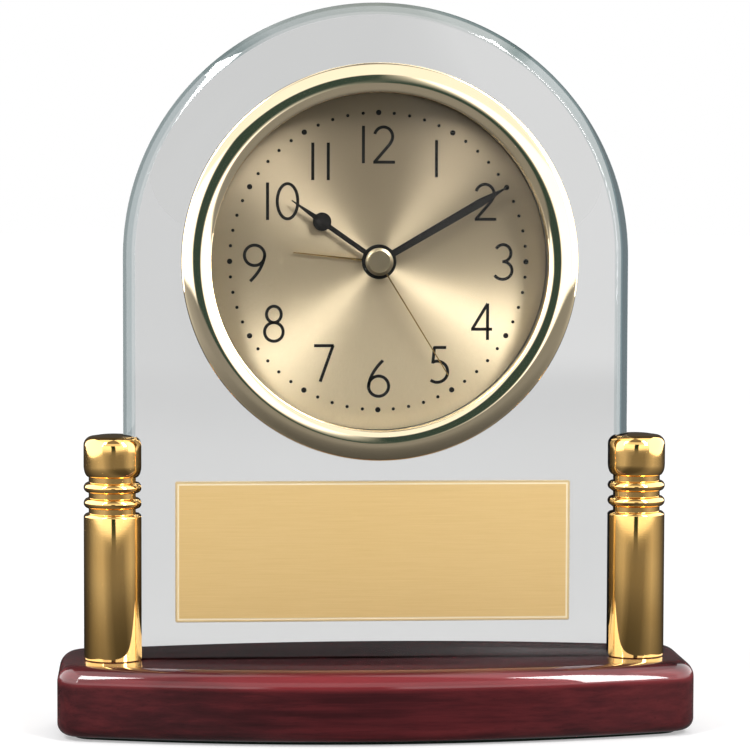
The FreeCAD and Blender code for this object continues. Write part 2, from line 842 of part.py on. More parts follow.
def stator_ends():
    """The heights of the middles of the stator's two arms."""
    top = rotor_place[1] + stator_rise - stator_arm_height / 2
    bottom = rotor_place[1] - stator_drop + stator_arm_height / 2
    return bottom, top


def make_movement_case():
    """The front shell: gear room, battery bay, bushing, pillars and front pivot holes."""
    case = movement_block(movement_front, cover_front)
    inner_back = cover_front + cut_overrun
    gear_room = block((-half_inside, half_inside), (gear_floor, inner_back),
                      (bay_top + movement_wall, gear_room_rise))
    bay = block((-half_inside, half_inside), (gear_floor, inner_back), (bay_bottom, bay_top))
    case = case.cut(gear_room).cut(bay)
    pillars = [rod(pillar_radius, gear_floor, board_front, place) for place in board_pillar_places()]
    far_boss = movement_screw_places()[0]
    pillars.append(rod(pillar_radius, gear_floor, movement_front + movement_screw_length, far_boss))
    pillars += [rod(pillar_radius - tube_wall, gear_floor, stator_front, (coil_axis(), height))
                for height in stator_ends()]
    bushing = rod(bushing_radius, dial_front, gear_floor)
    case = joined(case, bushing, *pillars)
    case = case.cut(rod(bushing_bore, dial_front - cut_overrun, gear_floor + cut_overrun))
    for place in movement_screw_places():
        case = case.cut(rod(movement_screw_radius, movement_front - cut_overrun,
                            dial_back + movement_screw_length, place))
    for place in pivot_places() + [motion_place, alarm_place]:
        case = case.cut(rod(pivot_radius + pivot_clearance, gear_floor - pivot_hole_depth,
                            gear_floor + cut_overrun, place))
    return case


def make_movement_cover():
    """The rear plate: a window for the battery, holes for pivots and shafts, and the switch slot."""
    plate = movement_block(cover_front, cover_back)
    through = (cover_front - cut_overrun, cover_back + cut_overrun)
    window = block((-half_inside + window_margin, half_inside - window_margin), through,
                   (bay_bottom + window_margin, bay_top - window_margin))
    plate = plate.cut(window)
    for place in pivot_places() + [centre_place]:
        plate = plate.cut(rod(pivot_radius + pivot_clearance, cover_front - cut_overrun,
                              cover_front + pivot_hole_depth, place))
    for place in (motion_place, alarm_place):
        plate = plate.cut(rod(shaft_radius + running_clearance, *through, place))
    slot_half = switch_stem_width / 2 + switch_side_clearance
    slot_low = switch_rise - switch_stem_height / 2 - switch_side_clearance
    slot_high = switch_rise + switch_stem_height / 2 + switch_travel + switch_side_clearance
    return plate.cut(block((switch_across - slot_half, switch_across + slot_half), through, (slot_low, slot_high)))


def make_movement_screws():
    """The two screws, heads flush under the dial."""
    head_back = dial_back + movement_screw_head_height
    screws = []
    for place in movement_screw_places():
        head = rod(movement_screw_head_radius, dial_back, head_back, place)
        shank = rod(movement_screw_radius, head_back, dial_back + movement_screw_length, place)
        screws.append(joined(head, shank))
    return Part.makeCompound(screws)


def make_battery():
    """One AA cell, lying in its bay with the nub to the right."""
    nub_end = half_inside - contact_thickness
    length_end = nub_end - battery_nub_length
    centre = Vector(length_end - battery_body_length, gear_floor + battery_radius, bay_middle)
    body = Part.makeCylinder(battery_radius, battery_body_length, centre, Vector(1, 0, 0))
    body = body.makeChamfer(battery_edge_chamfer,
                            [edge for edge in body.Edges if edge.BoundBox.XLength < battery_edge_chamfer])
    nub = Part.makeCylinder(battery_nub_radius, battery_nub_length, centre + Vector(battery_body_length, 0, 0),
                            Vector(1, 0, 0))
    return joined(body, nub)


def make_contact_positive():
    """The flat strip that the nub touches."""
    depth = gear_floor + battery_radius
    return block((half_inside - contact_thickness, half_inside),
                 (depth - contact_height / 2, depth + contact_height / 2),
                 (bay_middle - contact_width / 2, bay_middle + contact_width / 2))


def make_contact_negative():
    """The bent leaf spring that presses on the flat end of the battery."""
    low = -half_inside
    apex = low + contact_spring_length
    depth = gear_floor + battery_radius
    half = contact_height / 2
    outline = [(low, depth - half), (low + contact_thickness, depth - half), (apex, depth),
               (low + contact_thickness, depth + half), (low, depth + half),
               (apex - contact_thickness, depth)]
    corners = [Vector(x, y, bay_middle - contact_width / 2) for x, y in outline]
    face = Part.Face(Part.makePolygon(corners + corners[:1]))
    return face.extrude(Vector(0, 0, contact_width))


def make_stator():
    """The soft iron yoke: two arms to the coil and a bar bored for the rotor."""
    bar_left = rotor_place[0] - stator_margin
    right = rotor_place[0] + stator_margin
    left = rotor_place[0] - stator_reach
    top = rotor_place[1] + stator_rise
    bottom = rotor_place[1] - stator_drop
    outline = [(left, bottom), (right, bottom), (right, top), (left, top), (left, top - stator_arm_height),
               (bar_left, top - stator_arm_height), (bar_left, bottom + stator_arm_height),
               (left, bottom + stator_arm_height)]
    yoke = sheet(outline, stator_front, stator_back)
    return yoke.cut(rod(magnet_radius + stator_air_gap, stator_front - cut_overrun, stator_back + cut_overrun,
                        rotor_place))


def make_coil_core():
    """The flat bar that carries the coil and lies on the stator's arms."""
    bottom = rotor_place[1] - stator_drop
    top = rotor_place[1] + stator_rise
    return block((coil_axis() - coil_core_width / 2, coil_axis() + coil_core_width / 2),
                 (stator_back, stator_back + coil_core_thickness), (bottom, top))


def make_coil_winding():
    """The round winding on the core, between the stator's arms."""
    bottom = rotor_place[1] - stator_drop + stator_arm_height + coil_end_gap
    top = rotor_place[1] + stator_rise - stator_arm_height - coil_end_gap
    middle = stator_back + coil_core_thickness / 2
    winding = Part.makeCylinder(coil_radius, top - bottom, Vector(coil_axis(), middle, bottom))
    return winding.cut(make_coil_core())


def make_circuit_board():
    """The narrow board on its two pillars."""
    return block((board_left, board_right), (board_front, board_front + board_thickness),
                 (board_bottom, board_top))


def make_quartz_crystal():
    """The small can that holds the quartz fork, lying on the board."""
    centre = Vector(board_left + crystal_can_place, board_front - crystal_can_radius, crystal_can_rise)
    return Part.makeCylinder(crystal_can_radius, crystal_can_length, centre)


def make_buzzer():
    """The round sounder on the board, with a hole in its front."""
    middle = (board_middle, buzzer_rise)
    can = rod(buzzer_radius, board_front - buzzer_height, board_front, middle)
    return can.cut(rod(buzzer_hole_radius, board_front - buzzer_height - cut_overrun,
                       board_front - buzzer_height / 2, middle))


def make_knob(place):
    """A ribbed knob on the end of its shaft."""
    front = cover_back + knob_gap
    back = front + knob_height
    points = []
    for index in range(knob_rib_count):
        for radius, quarter in ((knob_radius - knob_rib_depth, 0), (knob_radius, 1),
                                (knob_radius, 2), (knob_radius - knob_rib_depth, 3)):
            across, up = polar(radius, 360 / knob_rib_count * (index + quarter / 4))
            points.append((place[0] + across, place[1] + up))
    return sheet(points, front, back).cut(rod(shaft_radius, front - cut_overrun, back - knob_web, place))


def make_alarm_switch():
    """The slider: a shoe under the cover, a stem in the slot and a cap outside."""
    half_wide = switch_stem_width / 2
    half_tall = switch_stem_height / 2

    def slab(margin, front, back):
        return block((switch_across - half_wide - margin, switch_across + half_wide + margin), (front, back),
                     (switch_rise - half_tall - margin, switch_rise + half_tall + margin))

    shoe_back = cover_front - pivot_clearance
    cap_front = cover_back + pivot_clearance
    shoe = slab(switch_shoe_margin, shoe_back - switch_shoe_thickness, shoe_back)
    stem = slab(0, shoe_back, cap_front)
    cap = slab(switch_cap_margin, cap_front, cap_front + switch_cap_thickness)
    return joined(shoe, stem, cap)


stand_parts = {
    "base": make_base(),
    "felt_pad": make_felt_pad(),
    "post_screws": make_post_screws(),
    "post_left": make_post(post_axes()[0]),
    "post_right": make_post(post_axes()[1]),
    "glass_panel": make_glass_panel(),
    "engraving_plate": make_engraving_plate(),
    "bezel": make_bezel(),
    "crystal": make_crystal(),
    "dial": make_dial(),
}

# These are drawn about the hands' axis and moved to its place in the glass.
insert_parts = {
    "alarm_hand": make_alarm_hand(),
    "hour_hand": make_hour_hand(),
    "minute_hand": make_minute_hand(),
    "second_hand": make_second_hand(),
    "insert_case": make_insert_case(),
    "grip_ring": make_grip_ring(),
    "movement_case": make_movement_case(),
    "movement_cover": make_movement_cover(),
    "movement_screws": make_movement_screws(),
    "battery": make_battery(),
    "contact_positive": make_contact_positive(),
    "contact_negative": make_contact_negative(),
    "circuit_board": make_circuit_board(),
    "quartz_crystal": make_quartz_crystal(),
    "buzzer": make_buzzer(),
    "stator": make_stator(),
    "coil_core": make_coil_core(),
    "coil_winding": make_coil_winding(),
    "rotor": make_rotor(),
    "fifth_wheel": make_fifth_wheel(),
    "fourth_wheel": make_fourth_wheel(),
    "third_wheel": make_third_wheel(),
    "centre_wheel": make_centre_wheel(),
    "motion_wheel": make_motion_wheel(),
    "hour_wheel": make_hour_wheel(),
    "alarm_wheel": make_alarm_wheel(),
    "alarm_pinion": make_alarm_pinion(),
    "time_set_knob": make_knob(motion_place),
    "alarm_set_knob": make_knob(alarm_place),
    "alarm_switch": make_alarm_switch(),
}
for shape in insert_parts.values():
    shape.translate(Vector(insert_offset, 0, insert_centre_height))

os.makedirs("parts", exist_ok=True)
for name, shape in {**stand_parts, **insert_parts}.items():
    shape.exportStep(f"parts/{name}.step")
    print(name, len(shape.Solids), "solids", round(shape.Volume), "mm3", "" if shape.isValid() else "INVALID")
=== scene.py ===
import math

import bmesh
import bpy
import numpy as np
from mathutils import Matrix, Vector


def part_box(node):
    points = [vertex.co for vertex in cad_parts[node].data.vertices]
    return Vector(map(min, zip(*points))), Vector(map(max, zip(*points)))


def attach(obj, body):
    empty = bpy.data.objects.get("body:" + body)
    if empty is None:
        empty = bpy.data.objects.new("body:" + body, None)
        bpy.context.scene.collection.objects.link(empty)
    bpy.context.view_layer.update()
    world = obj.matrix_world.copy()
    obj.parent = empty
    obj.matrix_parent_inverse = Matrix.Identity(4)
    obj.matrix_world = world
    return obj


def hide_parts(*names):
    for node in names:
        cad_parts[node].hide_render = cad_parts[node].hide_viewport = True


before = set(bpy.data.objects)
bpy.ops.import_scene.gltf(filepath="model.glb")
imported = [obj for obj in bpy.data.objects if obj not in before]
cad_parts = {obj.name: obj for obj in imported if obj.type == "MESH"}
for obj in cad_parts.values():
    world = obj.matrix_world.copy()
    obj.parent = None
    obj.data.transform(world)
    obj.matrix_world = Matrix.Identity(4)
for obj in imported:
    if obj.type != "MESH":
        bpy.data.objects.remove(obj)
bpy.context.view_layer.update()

# Studio: a pale floor and walls, three soft lamps, and the large soft boxes and bright cards that
# only gloss sees. Polished metal and lacquer also see the dark cloths that hang in front, round
# the camera and behind. Boxes and cloths are placed by direction and distance.
mm = 0.001
scene = bpy.context.scene
scene.view_settings.view_transform = "Standard"


def node(tree, kind, sockets=None, **settings):
    """One shader node. A socket is named or counted, and gets a value or the output linked to it."""
    made = tree.nodes.new("ShaderNode" + kind)
    for name, value in settings.items():
        setattr(made, name, value)
    for name, value in (sockets or {}).items():
        if isinstance(value, bpy.types.NodeSocket):
            tree.links.new(value, made.inputs[name])
        else:
            made.inputs[name].default_value = value
    return made


def calc(tree, operation, *values):
    """The result of one Math node on values or outputs."""
    return node(tree, "Math", dict(enumerate(values)), operation=operation).outputs[0]


def times(tree, first, second):
    """The product of two values or outputs."""
    return calc(tree, "MULTIPLY", first, second)


def scaled(tree, vector, factor):
    """A vector or colour, times a factor."""
    return node(tree, "VectorMath", {0: vector, 3: factor}, operation="SCALE").outputs[0]


def split(tree, vector):
    """The three parts of a vector."""
    return node(tree, "SeparateXYZ", {0: vector}).outputs[:3]


def own_place(tree):
    """The place that is shaded, in the piece's own coordinates."""
    return node(tree, "TexCoord").outputs["Object"]


def smooth_step(tree, value, low, high):
    """0 below low, 1 above high, and a smooth step between them."""
    sockets = {"Value": value, "From Min": low, "From Max": high}
    return node(tree, "MapRange", sockets, interpolation_type="SMOOTHSTEP").outputs[0]


def tint(tree, share, first, second):
    """The first colour, with a share of the second mixed in."""
    return node(tree, "Mix", {0: share, 6: first, 7: second}, data_type="RGBA").outputs[2]


def ramp(tree, value, stops):
    """A colour ramp through stops of (place, grey or colour)."""
    made = node(tree, "ValToRGB", {0: value})
    bar = made.color_ramp.elements
    while len(bar) < len(stops):
        bar.new(0.5)
    for stop, (place, colour) in zip(bar, stops):
        stop.position = place
        stop.color = (*colour, 1) if isinstance(colour, tuple) else (colour, colour, colour, 1)
    return made.outputs[0]


def group(name, inputs, outputs):
    """An empty node group whose sockets are given as (name, kind)."""
    tree = bpy.data.node_groups.new(name, "ShaderNodeTree")
    for way, sockets in (("INPUT", inputs), ("OUTPUT", outputs)):
        for label, kind in sockets:
            tree.interface.new_socket(label, in_out=way, socket_type="NodeSocket" + kind)
    return tree, tree.nodes.new("NodeGroupInput").outputs, tree.nodes.new("NodeGroupOutput").inputs


def placed(tree, inner, sockets):
    """The outputs of a node group placed in a material with its own values."""
    return node(tree, "Group", sockets, node_tree=inner).outputs


def by_azimuth(stops):
    """Ramp stops from degrees, 0 at the camera's side of the clock and 90 at its right."""
    return [((azimuth + 180) / 360, light) for azimuth, light in stops]


cloth_green = (0.01, 0.026, 0.023)
front_glow = 0.62
steep_glow = 0.15
box_strength = 1.9
soft_boxes, box_in, box_out = group(
    "soft_boxes", [("Direction", "Vector"), ("Near", "Float")], [("Light", "Color")])
tree = soft_boxes
unit = node(tree, "VectorMath", {0: box_in["Direction"]}, operation="NORMALIZE").outputs[0]
across, depth, rise = split(tree, unit)
azimuth = calc(tree, "ARCTAN2", across, times(tree, depth, -1.0))
azimuth = calc(tree, "MULTIPLY_ADD", azimuth, 1 / (2 * math.pi), 0.5)
table_light = ramp(tree, azimuth, by_azimuth([
    (-180, 0.05), (-140, 0.06), (-122, 0.1), (-107, 0.16), (-84, 0.42), (-63, 0.6), (-46, 0.62),
    (-31, 0.4), (-14, 0.25), (18, 0.25), (32, 0.27), (48, 0.46), (65, 0.64), (84, 0.48), (106, 0.27),
    (125, 0.1), (142, 0.05), (180, 0.05)]))
side_light = ramp(tree, azimuth, by_azimuth([
    (-180, 0.04), (-122, 0.05), (-108, 1.0), (108, 1.0), (122, 0.05), (180, 0.04)]))
round_camera = ramp(tree, azimuth, by_azimuth([
    (-180, 0), (-11, 0), (-9, 1), (5, 1), (7, 0), (180, 0)]))
in_front = ramp(tree, azimuth, by_azimuth([
    (-180, 0), (-42, 0), (-32, 1), (24, 1), (32, 0), (180, 0)]))
is_up = smooth_step(tree, rise, 0.165, 0.19)
is_steep = smooth_step(tree, rise, 0.56, 0.66)
front_light = node(tree, "Mix", {0: is_steep, 2: front_glow, 3: steep_glow}).outputs[0]
up_light = node(tree, "Mix", {0: in_front, 2: side_light, 3: front_light}).outputs[0]
low_light = tint(tree, round_camera, side_light, (*cloth_green, 1))
far_light = scaled(tree, tint(tree, is_up, low_light, up_light), box_strength)
tree.links.new(tint(tree, box_in["Near"], far_light, table_light), box_out["Light"])


def seen_plainly(tree):
    """1 for a ray that shows the plain background, 1 for one that shows the boxes, and their veil.

    The veil is below 1 for gloss behind the crystal, so that the lamps alone light the dial."""
    path = node(tree, "LightPath").outputs
    reflected = times(tree, path["Is Glossy Ray"], path["Is Reflection Ray"])
    after_gloss = calc(tree, "MINIMUM", path["Glossy Depth"], 1.0)
    through = times(tree, path["Is Transmission Ray"], after_gloss)
    in_gloss = calc(tree, "MAXIMUM", reflected, through)
    veil = calc(tree, "MULTIPLY_ADD", through, -0.84, 1.0)
    return calc(tree, "MAXIMUM", path["Is Camera Ray"], path["Is Transmission Ray"]), in_gloss, veil


scene.world = bpy.data.worlds.new("studio")
scene.world.use_nodes = True
scene.world.cycles.sampling_method = "NONE"
room = scene.world.node_tree
room.nodes.clear()
plain, in_gloss, veil = seen_plainly(room)
facing = node(room, "TexCoord").outputs["Generated"]
boxes = placed(room, soft_boxes, {"Direction": facing})["Light"]
seen = tint(room, plain, (0.5, 0.5, 0.505, 1), (1, 1, 1, 1))
seen = tint(room, in_gloss, seen, scaled(room, boxes, veil))
wall = node(room, "Background", {"Color": seen, "Strength": 1.0})
node(room, "OutputWorld", {"Surface": wall.outputs[0]})

floor_radius = 9.0
ring_radii = np.array([0.0, 0.4, 1.2, 4.0, floor_radius])
angle = np.linspace(0, 2 * np.pi, 97)[:-1]
floor_points = np.stack([np.outer(ring_radii, np.cos(angle)), np.outer(ring_radii, np.sin(angle)),
                         np.zeros((len(ring_radii), len(angle)))], -1)


def skin(rows, around=True, closed=False):
    """Quads over a grid of points: around joins the last column to the first, closed the last row."""
    index = np.arange(rows.shape[0] * rows.shape[1]).reshape(rows.shape[:2])
    if closed:
        index = np.vstack([index, index[:1]])
    if around:
        index = np.hstack([index, index[:, :1]])
    quads = np.stack([index[:-1, :-1], index[:-1, 1:], index[1:, 1:], index[1:, :-1]], -1)
    return rows.reshape(-1, 3), quads.reshape(-1, 4)


def mesh_of(name, skins, sharp_from):
    """One mesh of several skins in metres: points that meet are joined and faces turned outwards."""
    points = np.concatenate([part[0] for part in skins])
    starts = np.cumsum([0] + [len(part[0]) for part in skins[:-1]])
    faces = np.concatenate([part[1] + start for part, start in zip(skins, starts)])
    mesh = bpy.data.meshes.new(name)
    mesh.from_pydata(points.tolist(), [], faces.tolist())
    work = bmesh.new()
    work.from_mesh(mesh)
    bmesh.ops.remove_doubles(work, verts=work.verts, dist=0.002 * mm)
    bmesh.ops.recalc_face_normals(work, faces=work.faces)
    work.to_mesh(mesh)
    work.free()
    mesh.polygons.foreach_set("use_smooth", np.ones(len(mesh.polygons), bool))
    mesh.set_sharp_from_angle(angle=math.radians(sharp_from))
    return mesh


def put_in(name, skins, material, sharp_from=32.0):
    """An object of several skins in metres, with its material, put in the scene."""
    made = bpy.data.objects.new(name, mesh_of(name, skins, sharp_from))
    made.data.materials.append(material)
    scene.collection.objects.link(made)
    return made


def piece(name, skins, material, body="root", stands_for=None, sharp_from=32.0):
    """A finished piece of the clock from skins in millimetres, on its body and in place of its node."""
    made = put_in(name, [(points * mm, faces) for points, faces in skins], material, sharp_from)
    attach(made, body)
    if stands_for:
        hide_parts(stands_for)
    return made


def empty_material(name):
    """A new material and its tree without nodes."""
    made = bpy.data.materials.new(name)
    made.use_nodes = True
    made.node_tree.nodes.clear()
    return made, made.node_tree


floor_finish, tree = empty_material("pale_floor")
plain, in_gloss, veil = seen_plainly(tree)
place = own_place(tree)
reach = node(tree, "VectorMath", {0: place}, operation="LENGTH").outputs["Value"]
near = calc(tree, "SUBTRACT", 1.0, smooth_step(tree, reach, 1.35, 1.9))
boxes = placed(tree, soft_boxes, {"Direction": place, "Near": near})["Light"]
paper = node(tree, "BsdfDiffuse", {"Color": (0.64, 0.64, 0.64, 1)})
far_lift = calc(tree, "MULTIPLY_ADD", smooth_step(tree, reach, 0.3, 1.8), 0.3, 0.4)
lift = node(tree, "Emission", {"Color": (1, 1, 1, 1), "Strength": times(tree, plain, far_lift)})
lit_paper = node(tree, "AddShader", {0: paper.outputs[0], 1: lift.outputs[0]})
near_cloth = calc(tree, "MULTIPLY_ADD", smooth_step(tree, reach, 0.05, 0.6), 0.7, 0.3)
mirrored = node(tree, "Emission", {"Color": boxes, "Strength": times(tree, near_cloth, veil)})
both = node(tree, "MixShader", {0: in_gloss, 1: lit_paper.outputs[0], 2: mirrored.outputs[0]})
node(tree, "OutputMaterial", {"Surface": both.outputs[0]})
put_in("floor", [skin(floor_points)], floor_finish)


def lamp(name, place, across, tall, watts, in_gloss):
    """A soft lamp of two sizes that faces the middle of the dial."""
    light = bpy.data.lights.new(name, "AREA")
    light.shape = "RECTANGLE"
    light.size = across
    light.size_y = tall
    light.energy = watts
    made = bpy.data.objects.new(name, light)
    made.location = place
    made.rotation_euler = (Vector((0, 0, 0.11)) - Vector(place)).to_track_quat("-Z", "Y").to_euler()
    made.visible_glossy = in_gloss
    scene.collection.objects.link(made)


lamp("left_lamp", (-0.48, -0.495, 0.61), 0.15, 0.32, 3.6, True)
lamp("right_lamp", (0.41, -0.53, 0.63), 0.15, 0.32, 3.6, True)
lamp("rear_lamp", (0.1, 0.75, 0.8), 0.6, 0.6, 3.2, False)


def card(name, foot_left, foot_right, top, glow):
    """A bright upright card that only gloss shows, from the height of its foot up to its top."""
    corners = np.array([[foot_left, foot_right], [(*foot_left[:2], top), (*foot_right[:2], top)]])
    white, tree = empty_material(name)
    light = node(tree, "Emission", {"Color": (1, 1, 1, 1), "Strength": glow})
    node(tree, "OutputMaterial", {"Surface": light.outputs[0]})
    white.cycles.emission_sampling = "NONE"
    made = put_in(name, [skin(corners, around=False)], white)
    for ray in ("camera", "diffuse", "transmission", "volume_scatter", "shadow"):
        setattr(made, f"visible_{ray}", False)


card("left_card", (-0.42, -0.38, 0.045), (-0.42, 0.42, 0.045), 0.6, 3.0)
card("right_card", (0.42, -0.34, 0.045), (0.42, 0.42, 0.045), 0.6, 3.0)
card("left_strip", (-0.47, -0.37, 0.1), (-0.43, -0.41, 0.1), 0.4, 24.0)
card("right_strip", (0.34, -0.53, 0.09), (0.45, -0.45, 0.09), 0.48, 24.0)

# Camera: at the photograph's angle, a little to the left of the clock and a little above its middle,
# as a long lens sees it from 0.8 m. It is turned and dipped towards the clock and hardly rolled.
turn = math.radians(-4.2)
dip = math.radians(3.47)
roll = math.radians(0.17)
flat = math.cos(dip)
forward = Vector((-math.sin(turn) * flat, math.cos(turn) * flat, -math.sin(dip)))
level = Vector((math.cos(turn), math.sin(turn), 0))
upright = level.cross(forward)
right = math.cos(roll) * level + math.sin(roll) * upright
upward = right.cross(forward)
lens = bpy.data.cameras.new("camera")
lens.lens = 145.6
lens.sensor_width = 36.0
lens.clip_start = 0.05
camera = bpy.data.objects.new("camera", lens)
camera.matrix_world = Matrix.Translation(Vector((-57.94, -787.9, 140.55)) * mm) @ Matrix(
    (right, upward, -forward)).transposed().to_4x4()
scene.collection.objects.link(camera)
scene.camera = camera

# Base: a bowed rosewood block, its ends straight and its corners round, lacquered and buffed like a
# piano lid. It is machined from one board, rounded over along the top and more finely underneath.
base_half_length = 82.5
base_half_depth = 29.98
base_half_end = 17.4
base_corner = 8.0
base_bottom = 1.0
base_top = 19.2
base_top_round = 4.5
base_foot_round = 3.0
side_foot = 4.6
side_head = 14.0


def finish_of(name, **constants):
    """A new material: its tree, its main shader and itself, with the shader's constant values set."""
    made, tree = empty_material(name)
    shader = node(tree, "BsdfPrincipled")
    for label, value in constants.items():
        shader.inputs[label.replace("_", " ")].default_value = value
    node(tree, "OutputMaterial", {"Surface": shader.outputs[0]})
    return tree, shader, made


def feed(shader, **sources):
    """Links outputs to the shader's sockets."""
    for label, source in sources.items():
        shader.id_data.links.new(source, shader.inputs[label.replace("_", " ")])


def relief(shader, height, depth, strength):
    """A bump of a depth in millimetres on the shader's normal."""
    sockets = {"Height": height, "Distance": depth * mm, "Strength": strength}
    feed(shader, Normal=node(shader.id_data, "Bump", sockets).outputs[0])


def noise(tree, scale, detail=3.0, vector=None, roughness=0.5):
    """Noise whose features are about one over the scale in metres, on the piece's own coordinates."""
    if vector is None:
        vector = own_place(tree)
    sockets = {"Vector": vector, "Scale": scale, "Detail": detail, "Roughness": roughness}
    return node(tree, "TexNoise", sockets).outputs[0]


def stretched(tree, scale, turn=(0.0, 0.0, 0.0)):
    """The piece's own coordinates, scaled by axis and turned."""
    place = own_place(tree)
    return node(tree, "Mapping", {"Vector": place, "Scale": scale, "Rotation": turn}).outputs[0]


handled, marks_in, marks_out = group(
    "wiped_marks", [("Roughness", "Float"), ("Spread", "Float")],
    [("Roughness", "Float"), ("Height", "Float")])
tree = handled
cloudy = noise(tree, 60.0, 4.0)
wiped = noise(tree, 1.0, 3.0, stretched(tree, (500, 500, 4200), (0.2, 0.5, 0.0)))
both_marks = calc(tree, "ADD", times(tree, cloudy, 0.65), times(tree, wiped, 0.35))
uneven = times(tree, calc(tree, "SUBTRACT", both_marks, 0.45), marks_in["Spread"])
tree.links.new(calc(tree, "MAXIMUM", calc(tree, "ADD", marks_in["Roughness"], uneven), 0.015),
               marks_out["Roughness"])
tree.links.new(wiped, marks_out["Height"])


def bow_arc(centre, size, first, last, count):
    """Places on an ellipse, centre + size times (cosine, sine), between two angles in degrees."""
    angle = np.radians(np.linspace(first, last, count))
    return np.stack([centre[0] + size[0] * np.cos(angle), centre[1] + size[1] * np.sin(angle)], -1)


def bowed_plan(inset):
    """The base's outline drawn in by an inset: two flat arcs, straight ends and round corners.

    The arcs' radius is (half chord squared + sagitta squared) / twice the sagitta. Each corner's
    centre lies its radius inside both the arc and the end, and every arc gives up the inset."""
    sagitta = base_half_depth - base_half_end
    bow = (base_half_length**2 + sagitta**2) / (2 * sagitta)
    bow_centre = bow - base_half_depth
    corner_x = base_half_length - base_corner
    corner_y = bow_centre - math.sqrt((bow - base_corner) ** 2 - corner_x**2)
    swing = math.asin(corner_x / (bow - base_corner))
    along = np.linspace(0, swing, 40)
    front = np.stack([np.sin(along), -np.cos(along)], -1) * (bow - inset) + (0, bow_centre)
    round_off = base_corner - inset
    corner = bow_arc((corner_x, corner_y), (round_off, round_off), math.degrees(swing) - 90, 0, 25)[1:]
    end = np.stack([np.full(6, base_half_length - inset), np.linspace(corner_y, 0, 7)[1:]], -1)
    quarter = np.concatenate([front, corner, end])
    back_right = quarter[:-1][::-1] * (1, -1)
    back_left = quarter[1:] * (-1, -1)
    front_left = quarter[1:-1][::-1] * (-1, 1)
    return np.concatenate([quarter, back_right, back_left, front_left])


foot_y, top_y = base_bottom + base_foot_round, base_top - base_top_round
foot_round = bow_arc((base_foot_round, foot_y), (-base_foot_round, -base_foot_round), 90, 0, 12)
top_round = bow_arc((base_top_round, top_y), (-base_top_round, base_top_round), 0, 90, 12)
side_wall = np.stack([np.zeros(5), np.linspace(side_foot, side_head, 5)], -1)
base_rows = []
for inset, height in np.concatenate([foot_round, side_wall, top_round]):
    plan = bowed_plan(inset)
    base_rows.append(np.column_stack([plan, np.full(len(plan), height)]))
top_row = base_rows[-1]
base_rows = [base_rows[0] * (0, 0, 1), *base_rows, top_row * (0.6, 0.6, 1), top_row * (0, 0, 1)]

tree, shader, rosewood = finish_of(
    "rosewood", Roughness=0.38, Specular_IOR_Level=0.04, Coat_Weight=1.0, Coat_Roughness=0.025)
broad = noise(tree, 1.0, 3.0, stretched(tree, (9, 60, 75), (0.0, 0.06, 0.03)), 0.55)
streaks = noise(tree, 1.0, 6.0, stretched(tree, (28, 520, 640), (0.0, 0.05, 0.02)), 0.62)
pores = noise(tree, 1.0, 2.0, stretched(tree, (160, 3200, 3200)), 0.5)
figure = calc(tree, "ADD", times(tree, broad, 0.6), times(tree, streaks, 0.4))
wood = ramp(tree, figure, [(0.34, (0.02, 0.004, 0.005)), (0.47, (0.048, 0.0075, 0.0095)),
                           (0.58, (0.09, 0.0125, 0.015)), (0.7, (0.125, 0.019, 0.021))])
dark_pores = smooth_step(tree, pores, 0.62, 0.72)
wood = tint(tree, times(tree, dark_pores, 0.45), wood, (0.022, 0.005, 0.006, 1))
height = split(tree, own_place(tree))[2]
# Painted light: the top rounding is painted a brighter red where the key light falls on it, more so
# where the figure is light.
over_round = calc(tree, "SUBTRACT", smooth_step(tree, height, 13.6 * mm, 15.4 * mm),
                  smooth_step(tree, height, 17.4 * mm, 18.9 * mm))
painted_rounding_light = times(tree, over_round, smooth_step(tree, broad, 0.3, 0.62))
wood = tint(tree, times(tree, painted_rounding_light, 0.8), wood, (0.27, 0.03, 0.036, 1))
feed(shader, Base_Color=wood)
piece("base_block", [skin(np.array(base_rows))], rosewood, stands_for="base",
      sharp_from=50)

# Felt pad: dense wool felt, cut a little inside the base's outline and glued under it. It keeps
# its shape as built and gets a matt, fibrous finish.


def two_tones(tree, value, dark, light, edge=0.3):
    """A ramp from a dark tone at an edge to a light one at 1 less the edge."""
    return ramp(tree, value, [(edge, dark), (1 - edge, light)])


tree, shader, felt = finish_of(
    "felt", Roughness=0.95, Sheen_Weight=0.35, Sheen_Roughness=0.6, Specular_IOR_Level=0.15)
fibres = noise(tree, 1500.0, 5.0, roughness=0.7)
feed(shader, Base_Color=two_tones(tree, fibres, (0.008, 0.02, 0.013), (0.03, 0.06, 0.042)))
relief(shader, fibres, 0.15, 0.8)


def dress(material, *nodes):
    """Puts a material on CAD pieces whose own shape is right."""
    for name in nodes:
        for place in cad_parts[name].material_slots:
            place.material = material


dress(felt, "felt_pad")

# Posts: two turned brass posts, plated and mirror polished, each slotted down its inner side for the
# edge of the glass. Each has a straight body, two beads and a domed cap, and a screw from below.
post_radius = 7.8
post_neck = 6.5
post_y = -3.6
post_x = 68.0
slot_half = 3.15
slot_floor = 2.3
body_top = 38.0
bead_heights = (40.7, 44.75)
bead_half = 1.35
cap_belly = 50.45
cap_shoulder = 55.65
cap_round = 2.4
dome_radius = 3.2
dome_foot = 58.39


